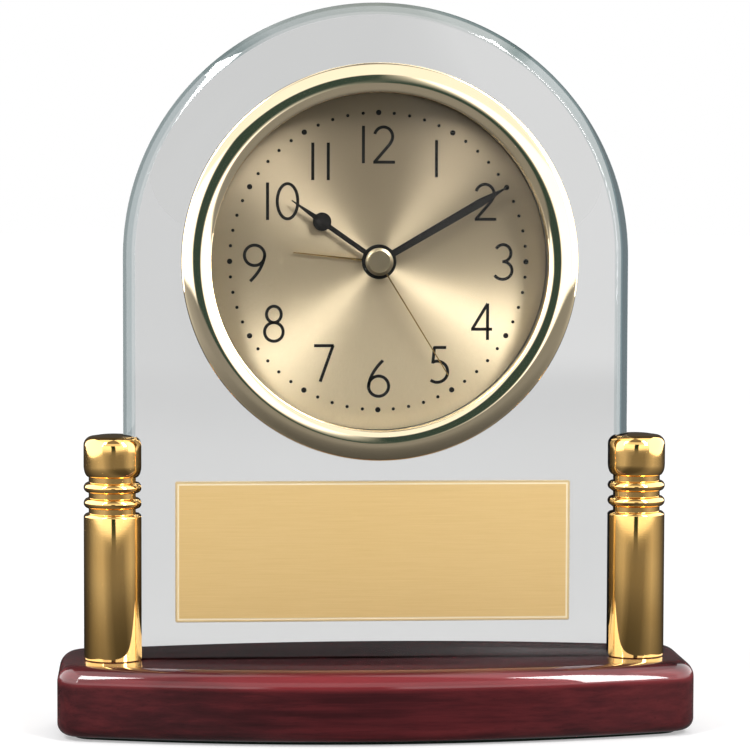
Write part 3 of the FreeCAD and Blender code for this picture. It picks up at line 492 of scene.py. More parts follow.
def rounded(points, reach, count=5):
    """A path whose corners are cut back by a reach and bridged by a curve through both cuts.

    Each corner becomes (1-t)^2 cut + 2t(1-t) corner + t^2 cut, a parabola tangent to both sides."""
    points = np.asarray(points, float)
    share = np.linspace(0, 1, count)[:, None]
    out = [points[:1]]
    for before, corner, after in zip(points[:-2], points[1:-1], points[2:]):
        to_before, to_after = before - corner, after - corner
        far_before, far_after = np.linalg.norm(to_before), np.linalg.norm(to_after)
        cut = min(reach, 0.45 * far_before, 0.45 * far_after)
        first, last = corner + to_before / far_before * cut, corner + to_after / far_after * cut
        out.append((1 - share) ** 2 * first + 2 * share * (1 - share) * corner + share**2 * last)
    return np.concatenate(out + [points[-1:]])


bead_edge = post_radius - post_neck
share = np.linspace(1, 0, 9)
post_outline = np.concatenate([
    [(0, 0), (post_radius - 0.25, 0)],
    rounded([(post_radius, 0.25), (post_radius, body_top - 0.6), (post_radius - 0.6, body_top),
             (post_neck, body_top)], 0.25),
    *[bow_arc((post_neck, middle), (bead_edge, bead_half), -90, 90, 19) for middle in bead_heights],
    bow_arc((post_neck, cap_belly), (bead_edge, 3.0), -90, 0, 13),
    bow_arc((post_radius - cap_round, cap_shoulder), (cap_round, cap_round), 0, 90, 15),
    [(dome_radius + 0.4, dome_foot - 0.04)],
    np.stack([dome_radius * share, dome_foot + 0.16 * (1 - share**2)], -1)])


def slotted_post(side):
    """A turned outline with a slot: at each height a ring that stops at the slot's two walls.

    The ring of radius r leaves the slot at the smaller of the angles whose cosine is floor / r and
    whose sine is half width / r. The path then runs in along a wall, across the floor and out."""
    radius, height = post_outline[:, 0:1], post_outline[:, 1:2]
    safe = np.maximum(radius, 1e-6)
    by_floor = np.arccos(np.clip(slot_floor / safe, 0, 1))
    by_wall = np.arcsin(np.clip(slot_half / safe, 0, 1))
    leave = np.minimum(by_floor, by_wall)
    angle = leave + np.linspace(0, 1, 121)[None] * (2 * np.pi - 2 * leave)
    ring_x, ring_y = radius * np.cos(angle), radius * np.sin(angle)
    wall_x = np.minimum(slot_floor, radius)
    wall_y = np.minimum(slot_half, radius * np.sin(leave))
    slot_x = np.hstack([wall_x, wall_x])
    slot_y = np.hstack([-wall_y, wall_y])
    x, y = np.hstack([ring_x, slot_x]), np.hstack([ring_y, slot_y])
    return np.stack([side * (post_x - x), post_y + y, base_top + height + 0 * x], -1)


def polished(name, dark, light, edge, grain, gloss, spread, depth, strength, metallic=1.0):
    """A polished metal of two tones in soft patches, with wiped marks in its gloss and its relief."""
    tree, shader, made = finish_of(name, Metallic=metallic)
    marks = placed(tree, handled, {"Roughness": gloss, "Spread": spread})
    feed(shader, Roughness=marks["Roughness"],
         Base_Color=two_tones(tree, noise(tree, grain), dark, light, edge))
    relief(shader, marks["Height"], depth, strength)
    return made


post_gold = polished("post_brass", (0.885, 0.53, 0.17), (0.94, 0.59, 0.21), 0.35, 45.0, 0.055, 0.07,
                     0.002, 0.25)
for side, label in ((-1, "left"), (1, "right")):
    piece(f"turned_post_{label}", [skin(slotted_post(side))], post_gold,
          stands_for=f"post_{label}", sharp_from=38)

screw_steel = polished("steel", (0.42, 0.43, 0.44), (0.58, 0.58, 0.59), 0.3, 300.0, 0.3, 0.2, 0.01, 0.3)
dress(screw_steel, "post_screws", "movement_screws")

# Glass: a float-glass arch 6 mm thick with polished edges, a bevel ground round its front and a
# bored hole for the insert. It is faintly smoked, and green where it is seen along its thickness.
# Its bevel and rim are also painted with reflections and with a shade that is deeper on the right.
glass_half = 65.55
glass_front = -6.6
glass_back = -0.6
arch_spring = 123.45
bore_radius = 46.2
insert_x = 0.5
insert_z = 122.3
bevel_width = 3.1
bevel_y = -5.0
bore_ease = 0.25


def arch_outline(inset):
    """The arch drawn in by an inset: right side, half circle and left side, on a foot that stays."""
    half = glass_half - inset
    foot = np.stack([np.linspace(-half, half, 31), np.full(31, base_top)], -1)
    side_up = np.stack([np.full(26, half), np.linspace(base_top, arch_spring, 27)[1:]], -1)
    arch = bow_arc((0, arch_spring), (half, half), 0, 180, 121)[1:]
    return np.concatenate([foot, side_up, arch, side_up[::-1][1:] * (-1, 1)])


def bore_outline(radius):
    """The bore, with each place on the line from its centre to the matching place of the arch."""
    away = arch_outline(0) - (insert_x, insert_z)
    return away / np.linalg.norm(away, axis=1)[:, None] * radius + (insert_x, insert_z)


def at_depth(outline, y):
    """An outline of (across, up) placed at one depth."""
    return np.column_stack([outline[:, 0], np.full(len(outline), y), outline[:, 1]])


def ranged(tree, value, low, high, first=0.0, last=1.0):
    """A value between first and last, brought between low and high."""
    sockets = {"Value": value, "From Min": first, "From Max": last, "To Min": low, "To Max": high}
    return node(tree, "MapRange", sockets).outputs[0]


rim = rounded([(12.0, glass_front), (bevel_width, glass_front), (0.0, bevel_y), (0.0, glass_back),
               (12.0, glass_back)], 0.22, 4)
glass_rows = [at_depth(arch_outline(inset), y) for inset, y in rim[1:-1]]
for radius, y in ((bore_radius + bore_ease, glass_back), (bore_radius, glass_back - bore_ease),
                  (bore_radius, glass_front + bore_ease), (bore_radius + bore_ease, glass_front)):
    glass_rows.append(at_depth(bore_outline(radius), y))
tree, shader, smoked_glass = finish_of(
    "glass", Base_Color=(0.7, 0.705, 0.705, 1), Roughness=0.0, IOR=1.5, Transmission_Weight=1.0)
own_x, _, own_z = split(tree, own_place(tree))
above = calc(tree, "MAXIMUM", calc(tree, "SUBTRACT", own_z, arch_spring * mm), 0.0)
from_axis = calc(tree, "SQRT", calc(tree, "ADD", times(tree, own_x, own_x), times(tree, above, above)))
on_bevel = smooth_step(tree, from_axis, (glass_half - 3.3) * mm, (glass_half - 3.0) * mm)
round_arch = calc(tree, "MULTIPLY_ADD", calc(tree, "ARCTAN2", own_x, above), 1 / math.pi, 0.5)
# The bevel's colour is a darker green-grey. Its two dark patches high on the arch, left and right, are
# painted reflections.
bevel_green_and_reflections = ramp(tree, round_arch, [
    (0.0, (0.34, 0.385, 0.395)), (0.26, (0.36, 0.4, 0.41)), (0.31, (0.2, 0.25, 0.25)),
    (0.36, (0.42, 0.45, 0.45)), (0.5, (0.46, 0.48, 0.46)), (0.66, (0.46, 0.49, 0.48)),
    (0.69, (0.24, 0.3, 0.29)), (0.72, (0.44, 0.48, 0.48)), (0.88, (0.42, 0.46, 0.46)),
    (1.0, (0.4, 0.44, 0.45))])
soft_cloud = two_tones(tree, noise(tree, 30.0, 2.0), (0.682, 0.666, 0.668), (0.692, 0.676, 0.678))
# The rim's colour is the glass's green with painted light and shade: lighter high on the left and much
# darker on the right.
rim_green_and_shade = ramp(tree, round_arch, [
    (0.0, (0.09, 0.125, 0.13)), (0.3, (0.06, 0.1, 0.1)), (0.35, (0.26, 0.3, 0.29)),
    (0.5, (0.2, 0.22, 0.19)), (0.6, (0.06, 0.1, 0.1)), (0.68, (0.02, 0.05, 0.05)),
    (0.8, (0.02, 0.05, 0.055)), (1.0, (0.02, 0.06, 0.075))])
rim_width = ranged(tree, round_arch, 0.9 * mm, 2.1 * mm, 0.8, 0.94)
past_rim = calc(tree, "ADD", calc(tree, "SUBTRACT", from_axis, glass_half * mm), rim_width)
on_rim = smooth_step(tree, past_rim, -0.15 * mm, 0.15 * mm)
edge_green_and_painted_light = tint(tree, on_rim, bevel_green_and_reflections, rim_green_and_shade)
feed(shader, Base_Color=tint(tree, on_bevel, soft_cloud, edge_green_and_painted_light))
volume = node(tree, "VolumeAbsorption", {"Color": (0.3, 0.84, 0.72, 1), "Density": 9.0})
tree.links.new(volume.outputs[0], tree.nodes["Material Output"].inputs["Volume"])
arch = piece("bevelled_glass", [skin(np.array(glass_rows), closed=True)], smoked_glass,
             stands_for="glass_panel", sharp_from=20)
arch.visible_shadow = False

# Engraving plate: a thin sheet of satin brushed brass, left bare, with a fine line cut round it just
# inside its edge. It is stuck flat to the front of the glass.
plate_half_width = 51.3
plate_bottom = 29.0
plate_top = 65.6
plate_x = -0.9
plate_face = glass_front - 0.5
plate_middle = (plate_top + plate_bottom) / 2
plate_half_height = (plate_top - plate_bottom) / 2
line_floor = plate_face + 0.07


def square_outline(inset, corner):
    """A rectangle drawn in by an inset, with round corners: four straight runs and four arcs."""
    half_x, half_z = plate_half_width - inset, plate_half_height - inset
    corners = []
    for first, (sx, sz) in zip((0, 90, 180, 270), ((1, 1), (-1, 1), (-1, -1), (1, -1))):
        middle = (plate_x + sx * (half_x - corner), plate_middle + sz * (half_z - corner))
        corners.append(bow_arc(middle, (corner, corner), first, first + 90, 7))
    return np.concatenate(corners)


def past_edge(tree, place, middle, half):
    """How far a place lies beyond half a width from the middle, in metres."""
    off = calc(tree, "ABSOLUTE", calc(tree, "SUBTRACT", place, middle * mm))
    return calc(tree, "SUBTRACT", off, half * mm)


plate_section = [(0.0, glass_front), (0.0, plate_face + 0.1), (0.08, plate_face), (0.62, plate_face),
                 (0.7, line_floor), (0.82, line_floor), (0.9, plate_face), (1.6, plate_face)]
plate_rows = [at_depth(square_outline(inset, max(0.5 - 0.4 * inset, 0.06)), y)
              for inset, y in plate_section]
centre_of_plate = np.array([plate_x, 0, plate_middle])
plate_rows = [plate_rows[0] * (0, 1, 0) + centre_of_plate, *plate_rows,
              plate_rows[-1] * (0, 1, 0) + centre_of_plate]
tree, shader, plate_gold = finish_of("plate_gold", Metallic=0.25, Anisotropic=0.5)
brushing = noise(tree, 1.0, 4.0, stretched(tree, (90, 900, 6500)), 0.6)
brass = two_tones(tree, brushing, (0.68, 0.455, 0.17), (0.74, 0.51, 0.21))
brass = tint(tree, times(tree, noise(tree, 14.0, 2.0), 0.35), brass, (0.75, 0.575, 0.3, 1))
plate_across, _, plate_up = split(tree, own_place(tree))
from_side = past_edge(tree, plate_across, plate_x, plate_half_width)
from_foot = past_edge(tree, plate_up, plate_middle, plate_half_height)
drawn_in = times(tree, calc(tree, "MAXIMUM", from_side, from_foot), -1 / mm)
in_line = calc(tree, "SUBTRACT", smooth_step(tree, drawn_in, 0.5, 0.62),
               smooth_step(tree, drawn_in, 0.95, 1.07))
brass = tint(tree, times(tree, in_line, 0.75), brass, (0.88, 0.8, 0.6, 1))
at_edge = calc(tree, "SUBTRACT", 1.0, smooth_step(tree, drawn_in, 0.28, 0.45))
brass = tint(tree, times(tree, at_edge, 0.6), brass, (0.52, 0.45, 0.32, 1))
feed(shader, Base_Color=brass, Roughness=ranged(tree, brushing, 0.3, 0.46))
relief(shader, brushing, 0.004, 0.35)
piece("plate_sheet", [skin(np.array(plate_rows))], plate_gold,
      stands_for="engraving_plate")

# Bezel: a spun brass ring, polished and plated a paler gold than the posts. Its face is a shallow
# crown, a short edge meets the glass and a thin lip holds the crystal down.
bezel_radius = 51.1
crest_radius = 46.9
window_radius = 43.4
crest_y = glass_front - 6.0
crown_size = 15.0
seat_radius = 44.9
seat_y = -9.0


def spun(outline, centre=(insert_x, insert_z), count=240):
    """A body of revolution about a line along Y: each (radius, depth) goes once round the centre.

    Across is centre + radius times cosine, and up is centre + radius times sine."""
    angle = np.linspace(0, 2 * np.pi, count + 1)[:-1]
    outline = np.asarray(outline, float)
    x = centre[0] + outline[:, 0:1] * np.cos(angle)
    z = centre[1] + outline[:, 0:1] * np.sin(angle)
    return np.stack([x, outline[:, 1:2] + 0 * x, z], -1)


def crown(radius):
    """A place on the bezel's crown, a shallow arc about its crest.

    Its depth is that of the crest + size - the root of (size squared - run squared)."""
    return radius, crest_y + crown_size - math.sqrt(crown_size**2 - (radius - crest_radius) ** 2)


bezel_outline = np.concatenate([
    [(seat_radius, glass_front), (bezel_radius - 0.15, glass_front),
     (bezel_radius, glass_front - 0.15)],
    rounded([(bezel_radius, -9.5), crown(bezel_radius), crown(bezel_radius - 1.2)], 0.55, 8)[1:-1],
    [crown(radius) for radius in np.linspace(bezel_radius - 0.8, window_radius + 0.7, 36)],
    rounded([crown(window_radius + 1.0), crown(window_radius), (window_radius, -9.6)], 0.45, 7)[1:],
    [(window_radius, seat_y - 0.1), (window_radius + 0.1, seat_y), (seat_radius, seat_y)]])
bezel_gold = polished("bezel_gold", (0.91, 0.76, 0.5), (0.96, 0.81, 0.56), 0.35, 30.0, 0.025, 0.03,
                      0.002, 0.2, metallic=0.98)
piece("spun_bezel", [skin(spun(bezel_outline), closed=True)], bezel_gold,
      stands_for="bezel", sharp_from=40)

# Crystal: a flat disc of clear mineral glass with a ground edge, held under the bezel's lip. It
# throws no shadow, so that the lamps reach the dial behind it.
crystal_radius = 44.8
crystal_back = -7.5
tree, shader, clear_glass = finish_of(
    "crystal", Base_Color=(1, 1, 1, 1), Roughness=0.0, IOR=1.18, Transmission_Weight=1.0)
feed(shader, Base_Color=two_tones(
    tree, noise(tree, 25.0, 2.0), (0.985, 0.99, 0.985), (0.995, 1.0, 0.995)))
crystal_outline = rounded([(0, seat_y), (crystal_radius, seat_y), (crystal_radius, crystal_back),
                           (0, crystal_back)], 0.15)
window = piece("flat_crystal", [skin(spun(crystal_outline, count=180))], clear_glass,
               stands_for="crystal")
window.visible_shadow = False

# Dial: a thin brass disc, brushed from its middle outwards and lacquered a pale champagne.
# The numerals and the minute dots are printed on it in black, thick enough to feel.
dial_front = -2.3
dial_back = -1.7
dial_radius = 43.6
tube_hole = 3.45
tree, shader, champagne = finish_of("dial_gold", Metallic=0.8, Anisotropic=0.92)
from_centre = node(tree, "Mapping", {"Vector": own_place(tree),
                                     "Location": (-insert_x * mm, 0, -insert_z * mm)}).outputs[0]
out_x, _, out_z = split(tree, from_centre)
bearing = calc(tree, "ARCTAN2", out_z, out_x)
spoke_x, spoke_y = calc(tree, "COSINE", bearing), calc(tree, "SINE", bearing)
squared = calc(tree, "ADD", times(tree, out_x, out_x), times(tree, out_z, out_z))
outwards = times(tree, calc(tree, "SQRT", squared), 6.0)
fan = node(tree, "CombineXYZ", {0: spoke_x, 1: spoke_y, 2: outwards}).outputs[0]
rays = noise(tree, 190.0, 3.0, fan, 0.6)
pale = two_tones(tree, rays, (0.85, 0.69, 0.43), (0.95, 0.79, 0.53))
pale = tint(tree, times(tree, noise(tree, 9.0, 2.0, fan), 0.3), pale, (0.96, 0.82, 0.58, 1))
# Painted shade: the dial is painted darker towards its top, standing in for the shade under the bezel's
# crest.
painted_top_shade = times(tree, smooth_step(tree, out_z, -38 * mm, 28 * mm), 0.92)
pale = tint(tree, painted_top_shade, pale, (0.32, 0.255, 0.17, 1))
tangent = node(tree, "CombineXYZ", {0: times(tree, spoke_y, -1.0), 1: 0.0, 2: spoke_x}).outputs[0]
dish = node(tree, "Bump", {"Height": times(tree, squared, 0.6), "Distance": 1.0, "Strength": 1.0})
fine = node(tree, "Bump", {"Height": rays, "Distance": 0.003 * mm, "Strength": 0.25,
                           "Normal": dish.outputs[0]})
feed(shader, Base_Color=pale, Roughness=ranged(tree, rays, 0.42, 0.5), Tangent=tangent,
     Normal=fine.outputs[0])
dial_outline = rounded([(tube_hole, dial_front), (dial_radius, dial_front), (dial_radius, dial_back),
                        (tube_hole, dial_back)], 0.08)
piece("dial_disc", [skin(spun(dial_outline, count=180), closed=True)], champagne,
      stands_for="dial")

stroke_half = 0.4
print_rise = 0.05
figure_height = 9.05


def line_through(*places):
    """Straight runs between places, as close-set points."""
    places = np.array(places, float)
    share = np.linspace(0, 1, 9)[:, None]
    runs = [start + (end - start) * share for start, end in zip(places[:-1], places[1:])]
    return np.concatenate([runs[0]] + [run[1:] for run in runs[1:]])


def sweep(start, control, end):
    """A quadratic curve: (1-t)^2 start + 2t(1-t) control + t^2 end."""
    t = np.linspace(0, 1, 19)[:, None]
    return (1 - t) ** 2 * np.array(start) + 2 * t * (1 - t) * np.array(control) + t**2 * np.array(end)


def printed(path, closed=False):
    """A flat raised stroke: the path moved half a width to each side along its normal."""
    heading = np.roll(path, -1, 0) - np.roll(path, 1, 0) if closed else np.gradient(path, axis=0)
    heading /= np.linalg.norm(heading, axis=1)[:, None]
    normal = np.stack([-heading[:, 1], heading[:, 0]], -1) * stroke_half
    left, right_side = path + normal, path - normal
    front, back = dial_front - print_rise, dial_front + 0.01
    rows = np.stack([at_depth(left, back), at_depth(left, front), at_depth(right_side, front),
                     at_depth(right_side, back)], 1)
    if closed:
        return skin(rows, closed=True)
    first, last = (np.broadcast_to(row.mean(0), (1, 4, 3)) for row in (rows[0], rows[-1]))
    return skin(np.concatenate([first, rows, last]))


def closed_bow(centre, size):
    """A whole ellipse without its last point."""
    return bow_arc(centre, size, 0, 360, 49)[:-1]


six_bowl = closed_bow((2.62, 2.62), (2.62, 2.62))
six_stem = sweep((3.75, 9.3), (0.35, 6.0), (0.02, 2.5))
figures = {
    "0": (5.3, [closed_bow((2.65, 4.525), (2.65, 4.525))], []),
    "1": (0.0, [], [line_through((0, -0.3), (0, 9.35))]),
    "2": (5.5, [], [np.concatenate([bow_arc((2.5, 6.6), (2.35, 2.45), 165, -28, 30),
                                    line_through((4.1, 4.6), (0.25, 0.1))]),
                    line_through((-0.15, 0), (5.5, 0))]),
    "3": (4.2, [], [bow_arc((1.85, 6.85), (2.05, 2.2), 150, -88, 36),
                    bow_arc((1.75, 2.35), (2.45, 2.3), 92, -148, 36)]),
    "4": (5.2, [], [line_through((4.1, -0.3), (4.1, 9.2)), line_through((4.1, 9.15), (0.1, 2.5)),
                    line_through((-0.2, 2.5), (5.3, 2.5))]),
    "5": (4.5, [], [line_through((4.1, 9.05), (0.95, 9.05)), line_through((1.05, 9.3), (0.6, 4.9)),
                    bow_arc((1.75, 2.75), (2.75, 2.75), 118, -128, 40)]),
    "6": (5.25, [six_bowl], [six_stem]),
    "7": (5.0, [], [line_through((-0.1, 9.05), (5.0, 9.05)), line_through((4.85, 9.15), (1.5, -0.3))]),
    "8": (4.8, [closed_bow((2.4, 6.95), (1.9, 2.1)), closed_bow((2.4, 2.42), (2.4, 2.42))], []),
    "9": (5.25, [(5.25, 9.05) - six_bowl], [(5.25, 9.05) - six_stem]),
}
hours = {"12": (0.17, 30.17), "1": (15.0, 26.6), "2": (27.9, 15.5), "3": (32.7, -0.1),
         "4": (27.0, -15.5), "5": (15.9, -26.8), "6": (0.17, -30.4), "7": (-14.0, -26.3),
         "8": (-27.0, -16.1), "9": (-32.0, -0.35), "10": (-24.75, 15.5), "11": (-15.0, 25.8)}
digit_gap = {"12": 2.7, "10": 2.5, "11": 4.0}
strokes = []
for hour, (right_of, above) in hours.items():
    gap = digit_gap.get(hour, 0.0)
    width = sum(figures[digit][0] for digit in hour) + gap * (len(hour) - 1)
    corner = np.array([insert_x + right_of - width / 2, insert_z + above - figure_height / 2])
    for digit in hour:
        wide, rings, runs = figures[digit]
        strokes += [printed(ring + corner, closed=True) for ring in rings]
        strokes += [printed(run + corner) for run in runs]
        corner[0] += wide + gap

dot_ring = 38.42
hour_dot = 0.7
minute_dot = 0.43
for minute in range(60):
    size = minute_dot if minute % 5 else hour_dot
    angle = math.radians(6.0 * minute)
    spot = (insert_x + dot_ring * math.sin(angle), insert_z + dot_ring * math.cos(angle))
    outline = [(0, dial_front - print_rise), (size * 0.85, dial_front - print_rise),
               (size, dial_front - 0.02), (size, dial_front + 0.01), (0, dial_front + 0.01)]
    strokes.append(skin(spun(outline, spot, 20)))
tree, shader, ink = finish_of("hand_black", Specular_IOR_Level=0.12)
speck = noise(tree, 2600.0, 3.0)
feed(shader, Base_Color=two_tones(tree, speck, (0.006, 0.0055, 0.005), (0.016, 0.015, 0.014)),
     Roughness=ranged(tree, speck, 0.3, 0.42))
relief(shader, speck, 0.006, 0.4)
piece("dial_print", strokes, ink)

# Hands: stamped from thin brass. The hour and minute hands are lacquered black, the alarm and second
# hands are plated, and each is pressed on its own tube. A turned cap covers the seconds arbor's end.
hand_thickness = 0.35


def hand_skin(height, angle, stem_at, stem_half, *discs):
    """A flat hand as rings along its length: half its width to each side, with its front edges eased.

    Half the width is the stem's, read between its stations, or a disc's where that is more: the root
    of (radius squared - distance squared). The angle is clockwise from twelve."""
    reach, tail = stem_at[-1], discs[0][1] if discs else 0.0
    along = np.unique(np.concatenate([np.linspace(-tail, tail, 41), np.linspace(tail, reach, 140)]))
    half = np.where(along < 0, 0.01, np.interp(along, stem_at, stem_half))
    for place, radius in discs:
        half = np.maximum(half, np.sqrt(np.maximum(radius**2 - (along - place) ** 2, 0)))
    ease = np.minimum(0.1, half * 0.5)
    front, back = dial_front - height - hand_thickness, dial_front - height
    sides = [(-half, back), (-half, front + 0.1), (-half + ease, front), (half - ease, front),
             (half, front + 0.1), (half, back)]
    x = np.stack([side for side, _ in sides], 1)
    y = np.broadcast_to([depth for _, depth in sides], x.shape)
    z = np.repeat(along[:, None], 6, 1)
    rows = np.stack([x, y, z], -1)
    middle = np.array([0.0, (front + back) / 2, 0.0])
    foot, tip = middle + (0, 0, along[0]) + 0 * rows[:1], middle + (0, 0, along[-1]) + 0 * rows[-1:]
    rows = np.concatenate([foot, rows, tip])
    turn = math.radians(angle)
    x, y, z = rows[..., 0], rows[..., 1], rows[..., 2]
    return np.stack([insert_x + x * math.cos(turn) + z * math.sin(turn), y,
                     insert_z - x * math.sin(turn) + z * math.cos(turn)], -1)


alarm_hand = hand_skin(0.5, 276.0, (0, 22.2), (0.3, 0.125), (0, 3.2))
hour_hand = hand_skin(1.4, 305.0, (0, 20.3, 27.5), (0.65, 0.65, 0.125), (0, 4.2), (17.9, 2.4))
minute_hand = hand_skin(2.4, 59.8, (0, 30.6, 38.2), (0.85, 1.1, 0.125), (0, 4.48))
second_hand = hand_skin(3.4, 148.5, (0, 34.3), (0.2, 0.125))
hand_gold = polished("hand_gold", (0.8, 0.56, 0.24), (0.9, 0.67, 0.33), 0.3, 260.0, 0.2, 0.12,
                     0.004, 0.3)
piece("alarm_needle", [skin(alarm_hand)], hand_gold, "alarm_display", "alarm_hand")
piece("hour_blade", [skin(hour_hand)], ink, "hour_train", "hour_hand")
piece("minute_blade", [skin(minute_hand)], ink, "minute_train", "minute_hand")
piece("second_needle", [skin(second_hand)], hand_gold, "seconds_train", "second_hand")
cap_radius = 3.58
cap_back = dial_front - 3.4
cap_front = -7.05
cap_dish = -6.99
cap_outline = np.concatenate([
    [(0, cap_back), (cap_radius, cap_back)],
    rounded([(cap_radius, cap_back - 0.1), (cap_radius, -6.76), (3.3, -6.8), (2.8, cap_front)], 0.1),
    [(2.72, cap_front), (2.66, cap_dish), (0, cap_dish)]])
cap_gold = polished("cap_gold", (0.8, 0.66, 0.42), (0.9, 0.76, 0.52), 0.3, 200.0, 0.28, 0.05,
                    0.003, 0.25)
piece("seconds_cap", [skin(spun(cap_outline, count=96))], cap_gold, "seconds_train")

# Insert case: a moulded black cup behind the bezel that carries the dial in front and the movement
# behind. A ribbed rubber band round it grips the bore of the glass.
case_inside = 43.7
case_front = -7.5
case_back = -0.1
groove_radius = 45.8
rib_width = 0.8
rib_pitch = 2.2
moulded, skin_in, skin_out = group(
    "moulded_skin",
    [("Dark", "Color"), ("Light", "Color"), ("Roughness", "Float"), ("Grain", "Float")],
    [("Color", "Color"), ("Roughness", "Float"), ("Height", "Float")])
tree = moulded
flow = noise(tree, 35.0)
uneven = times(tree, calc(tree, "SUBTRACT", flow, 0.5), 0.25)
tree.links.new(tint(tree, flow, skin_in["Dark"], skin_in["Light"]), skin_out["Color"])
tree.links.new(calc(tree, "ADD", skin_in["Roughness"], uneven), skin_out["Roughness"])
tree.links.new(noise(tree, skin_in["Grain"]), skin_out["Height"])


def plastic(name, dark, light, roughness, grain=2200.0, depth=0.02, strength=0.35):
    """A moulded finish from the shared skin, with its own colours and grain."""
    tree, shader, made = finish_of(name)
    surface = placed(tree, moulded, {"Dark": (*dark, 1), "Light": (*light, 1), "Roughness": roughness,
                                     "Grain": grain})
    feed(shader, Base_Color=surface["Color"], Roughness=surface["Roughness"])
    relief(shader, surface["Height"], depth, strength)
    return made


case_black = plastic("black_plastic", (0.016, 0.016, 0.017), (0.03, 0.03, 0.032), 0.36)
case_outline = rounded([
    (tube_hole, dial_back), (case_inside, dial_back), (case_inside, case_front),
    (seat_radius, case_front), (seat_radius, case_back), (tube_hole, case_back)], 0.25)
piece("pressed_cup", [skin(spun(case_outline), closed=True)], case_black,
      stands_for="insert_case")
rubber = plastic("rubber", (0.012, 0.012, 0.012), (0.022, 0.022, 0.021), 0.7, 900.0, 0.03, 0.3)
ribs = []
for front in glass_front + rib_pitch * np.arange(3):
    back = front + rib_width
    ribs += [(groove_radius, front), (bore_radius, front), (bore_radius, back), (groove_radius, back)]
rib_path = [(seat_radius, ribs[0][1]), *ribs[1:-1], (seat_radius, ribs[-1][1])]
piece("grip_band", [skin(spun(rounded(rib_path, 0.12, 4)), closed=True)], rubber,
      stands_for="grip_ring")

# Movement: a square moulded case and its rear cover, with the battery bay left open along its foot.
# The case's own mouldings are right as built, so they keep their shape and get the moulded finish.
dress(case_black, "movement_case", "movement_cover")

# Knobs and switch: two ribbed setting knobs pressed on their shafts, for the time and the alarm,
# and the alarm's slider, which keeps its shape as built.
knob_front = 18.5
knob_back = 21.9
knob_radius = 5.0
knob_ribs = 18
rib_depth = 0.42
dish_depth = 0.3


def ribbed_knob(across):
    """A round knob with ribs, sunk a little in the middle of its back and round at both rims.

    Near its rim the radius is the section's - depth times (0.5 - 0.5 tanh(2.2 cos(ribs x angle)))."""
    dish = knob_back - dish_depth
    section = rounded([
        (0, knob_front), (knob_radius - 0.25, knob_front), (knob_radius, knob_front + 0.25),
        (knob_radius, knob_back - 0.6), (knob_radius - 0.5, knob_back), (3.7, knob_back),
        (3.4, dish), (0, dish)], 0.3, 5)
    radius, depth = section[:, 0:1], section[:, 1:2]
    angle = np.linspace(0, 2 * np.pi, knob_ribs * 12 + 1)[:-1]
    ribs = 0.5 - 0.5 * np.tanh(2.2 * np.cos(knob_ribs * angle))
    radius = radius - rib_depth * np.clip((radius - 4.0) / 0.9, 0, 1) * ribs
    return np.stack([insert_x + across + radius * np.cos(angle), depth + 0 * radius,
                     insert_z + radius * np.sin(angle)], -1)


knob_black = plastic("knob_plastic", (0.014, 0.014, 0.015), (0.026, 0.026, 0.028), 0.32, 3000.0,
                     0.012, 0.25)
for name, across, body in (("time", 9.6, "time_setting"), ("alarm", -10.15, "alarm_setting")):
    piece(f"{name}_knob", [skin(ribbed_knob(across))], knob_black, body,
          f"{name}_set_knob")
switch_grey = plastic("switch_plastic", (0.25, 0.25, 0.25), (0.32, 0.32, 0.315), 0.36, 3000.0,
                      0.012, 0.25)
dress(switch_grey, "alarm_switch")

# Battery: one AA cell in a plain two-colour shrink wrap with bright ends, between two plated
# contacts. The cell's length comes from the box of the CAD node that it stands for.
battery_y = 8.65
battery_z = insert_z - 18.6
wrap_radius = 7.25
nub_radius = 2.75
nub_length = 1.3
band_length = 13.0


def along_x(outline):
    """A body of revolution about the battery's axis, from (distance along, radius).

    It is spun as about Y, and then across and depth change places."""
    return spun(outline[:, ::-1], (battery_y, battery_z), 96)[..., [1, 0, 2]]


(left_end, _, _), (nub_end, _, _) = (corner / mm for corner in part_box("battery"))
right_end = nub_end - nub_length
wrap_outline = rounded([
    (left_end + 0.2, 5.6), (left_end + 0.05, 7.0), (left_end + 0.6, wrap_radius),
    (right_end - 0.6, wrap_radius), (right_end - 0.05, 7.0), (right_end - 0.2, 5.4)], 0.25)
end_outline = rounded([
    (left_end + 0.15, 0), (left_end + 0.15, 5.3), (left_end + 0.5, 5.7), (right_end - 0.5, 5.6),
    (right_end - 0.15, 5.2), (right_end - 0.1, nub_radius), (nub_end - 0.2, nub_radius), (nub_end, 2.4),
    (nub_end, 0)], 0.25)
tree, shader, wrap = finish_of("battery_wrap", Coat_Weight=0.6, Coat_Roughness=0.12)
along = split(tree, own_place(tree))[0]
band_edge = right_end - band_length
band = smooth_step(tree, along, (band_edge - 0.1) * mm, (band_edge + 0.1) * mm)
film = noise(tree, 90.0)
wrap_dark = two_tones(tree, film, (0.012, 0.012, 0.014), (0.022, 0.022, 0.025))
wrap_bright = two_tones(tree, film, (0.5, 0.23, 0.09), (0.6, 0.3, 0.13))
feed(shader, Base_Color=tint(tree, band, wrap_dark, wrap_bright),
     Roughness=ranged(tree, film, 0.22, 0.38))
relief(shader, film, 0.05, 0.2)
piece("battery_cell", [skin(along_x(end_outline))], screw_steel,
      stands_for="battery")
piece("battery_sleeve", [skin(along_x(wrap_outline))], wrap)
dress(screw_steel, "contact_positive", "contact_negative")

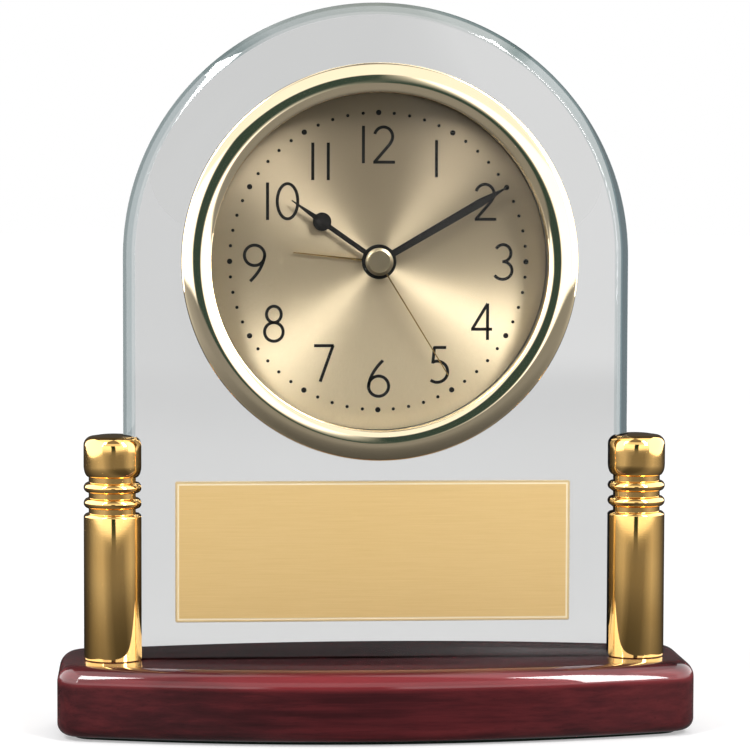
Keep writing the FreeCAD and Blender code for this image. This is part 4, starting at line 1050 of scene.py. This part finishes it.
# Circuit and motor: a narrow green board with its crystal can and sounder, and the stepping motor's
# iron yoke, core, wound coil and magnet. They stand inside the movement and are fixed to its pillars.
tree, shader, board_green = finish_of("board", Coat_Weight=0.4, Coat_Roughness=0.15)
tracks = node(tree, "TexVoronoi", {"Vector": stretched(tree, (700, 700, 420)), "Scale": 1.0},
              distance="CHEBYCHEV", feature="DISTANCE_TO_EDGE").outputs[0]
copper_lines = smooth_step(tree, tracks, 0.05, 0.09)
feed(shader, Base_Color=tint(tree, copper_lines, (0.03, 0.13, 0.05, 1), (0.012, 0.07, 0.025, 1)),
     Roughness=ranged(tree, noise(tree, 500.0), 0.28, 0.45))
relief(shader, copper_lines, 0.03, 0.5)
dress(board_green, "circuit_board")
dress(screw_steel, "quartz_crystal", "stator", "coil_core")
dress(case_black, "buzzer")
tree, shader, copper = finish_of("copper", Metallic=0.9, Coat_Weight=0.5, Coat_Roughness=0.1)
turns_of_wire = node(tree, "TexWave", {"Vector": own_place(tree), "Scale": 1600.0, "Distortion": 1.2,
                                       "Detail": 1.0}, bands_direction="Z").outputs["Fac"]
feed(shader, Roughness=ranged(tree, turns_of_wire, 0.35, 0.22),
     Base_Color=two_tones(tree, turns_of_wire, (0.3, 0.09, 0.035), (0.72, 0.3, 0.14), 0.2))
relief(shader, turns_of_wire, 0.08, 0.8)
dress(copper, "coil_winding")
tree, shader, magnet = finish_of("magnet", Metallic=0.7)
sinter = noise(tree, 1800.0, 4.0)
feed(shader, Base_Color=two_tones(tree, sinter, (0.1, 0.1, 0.105), (0.2, 0.2, 0.21)),
     Roughness=ranged(tree, sinter, 0.35, 0.6))
relief(shader, sinter, 0.02, 0.4)
dress(magnet, "rotor")

# Gear train: wheels and pinions moulded in white plastic. Their arbors, tubes and windows are right
# as built, so they keep their shape and get the moulded finish.
gear_white = plastic("white_plastic", (0.66, 0.65, 0.61), (0.74, 0.73, 0.7), 0.34, 3500.0, 0.01, 0.25)
dress(gear_white, "fifth_wheel", "fourth_wheel", "third_wheel", "centre_wheel", "motion_wheel",
      "hour_wheel", "alarm_wheel", "alarm_pinion")
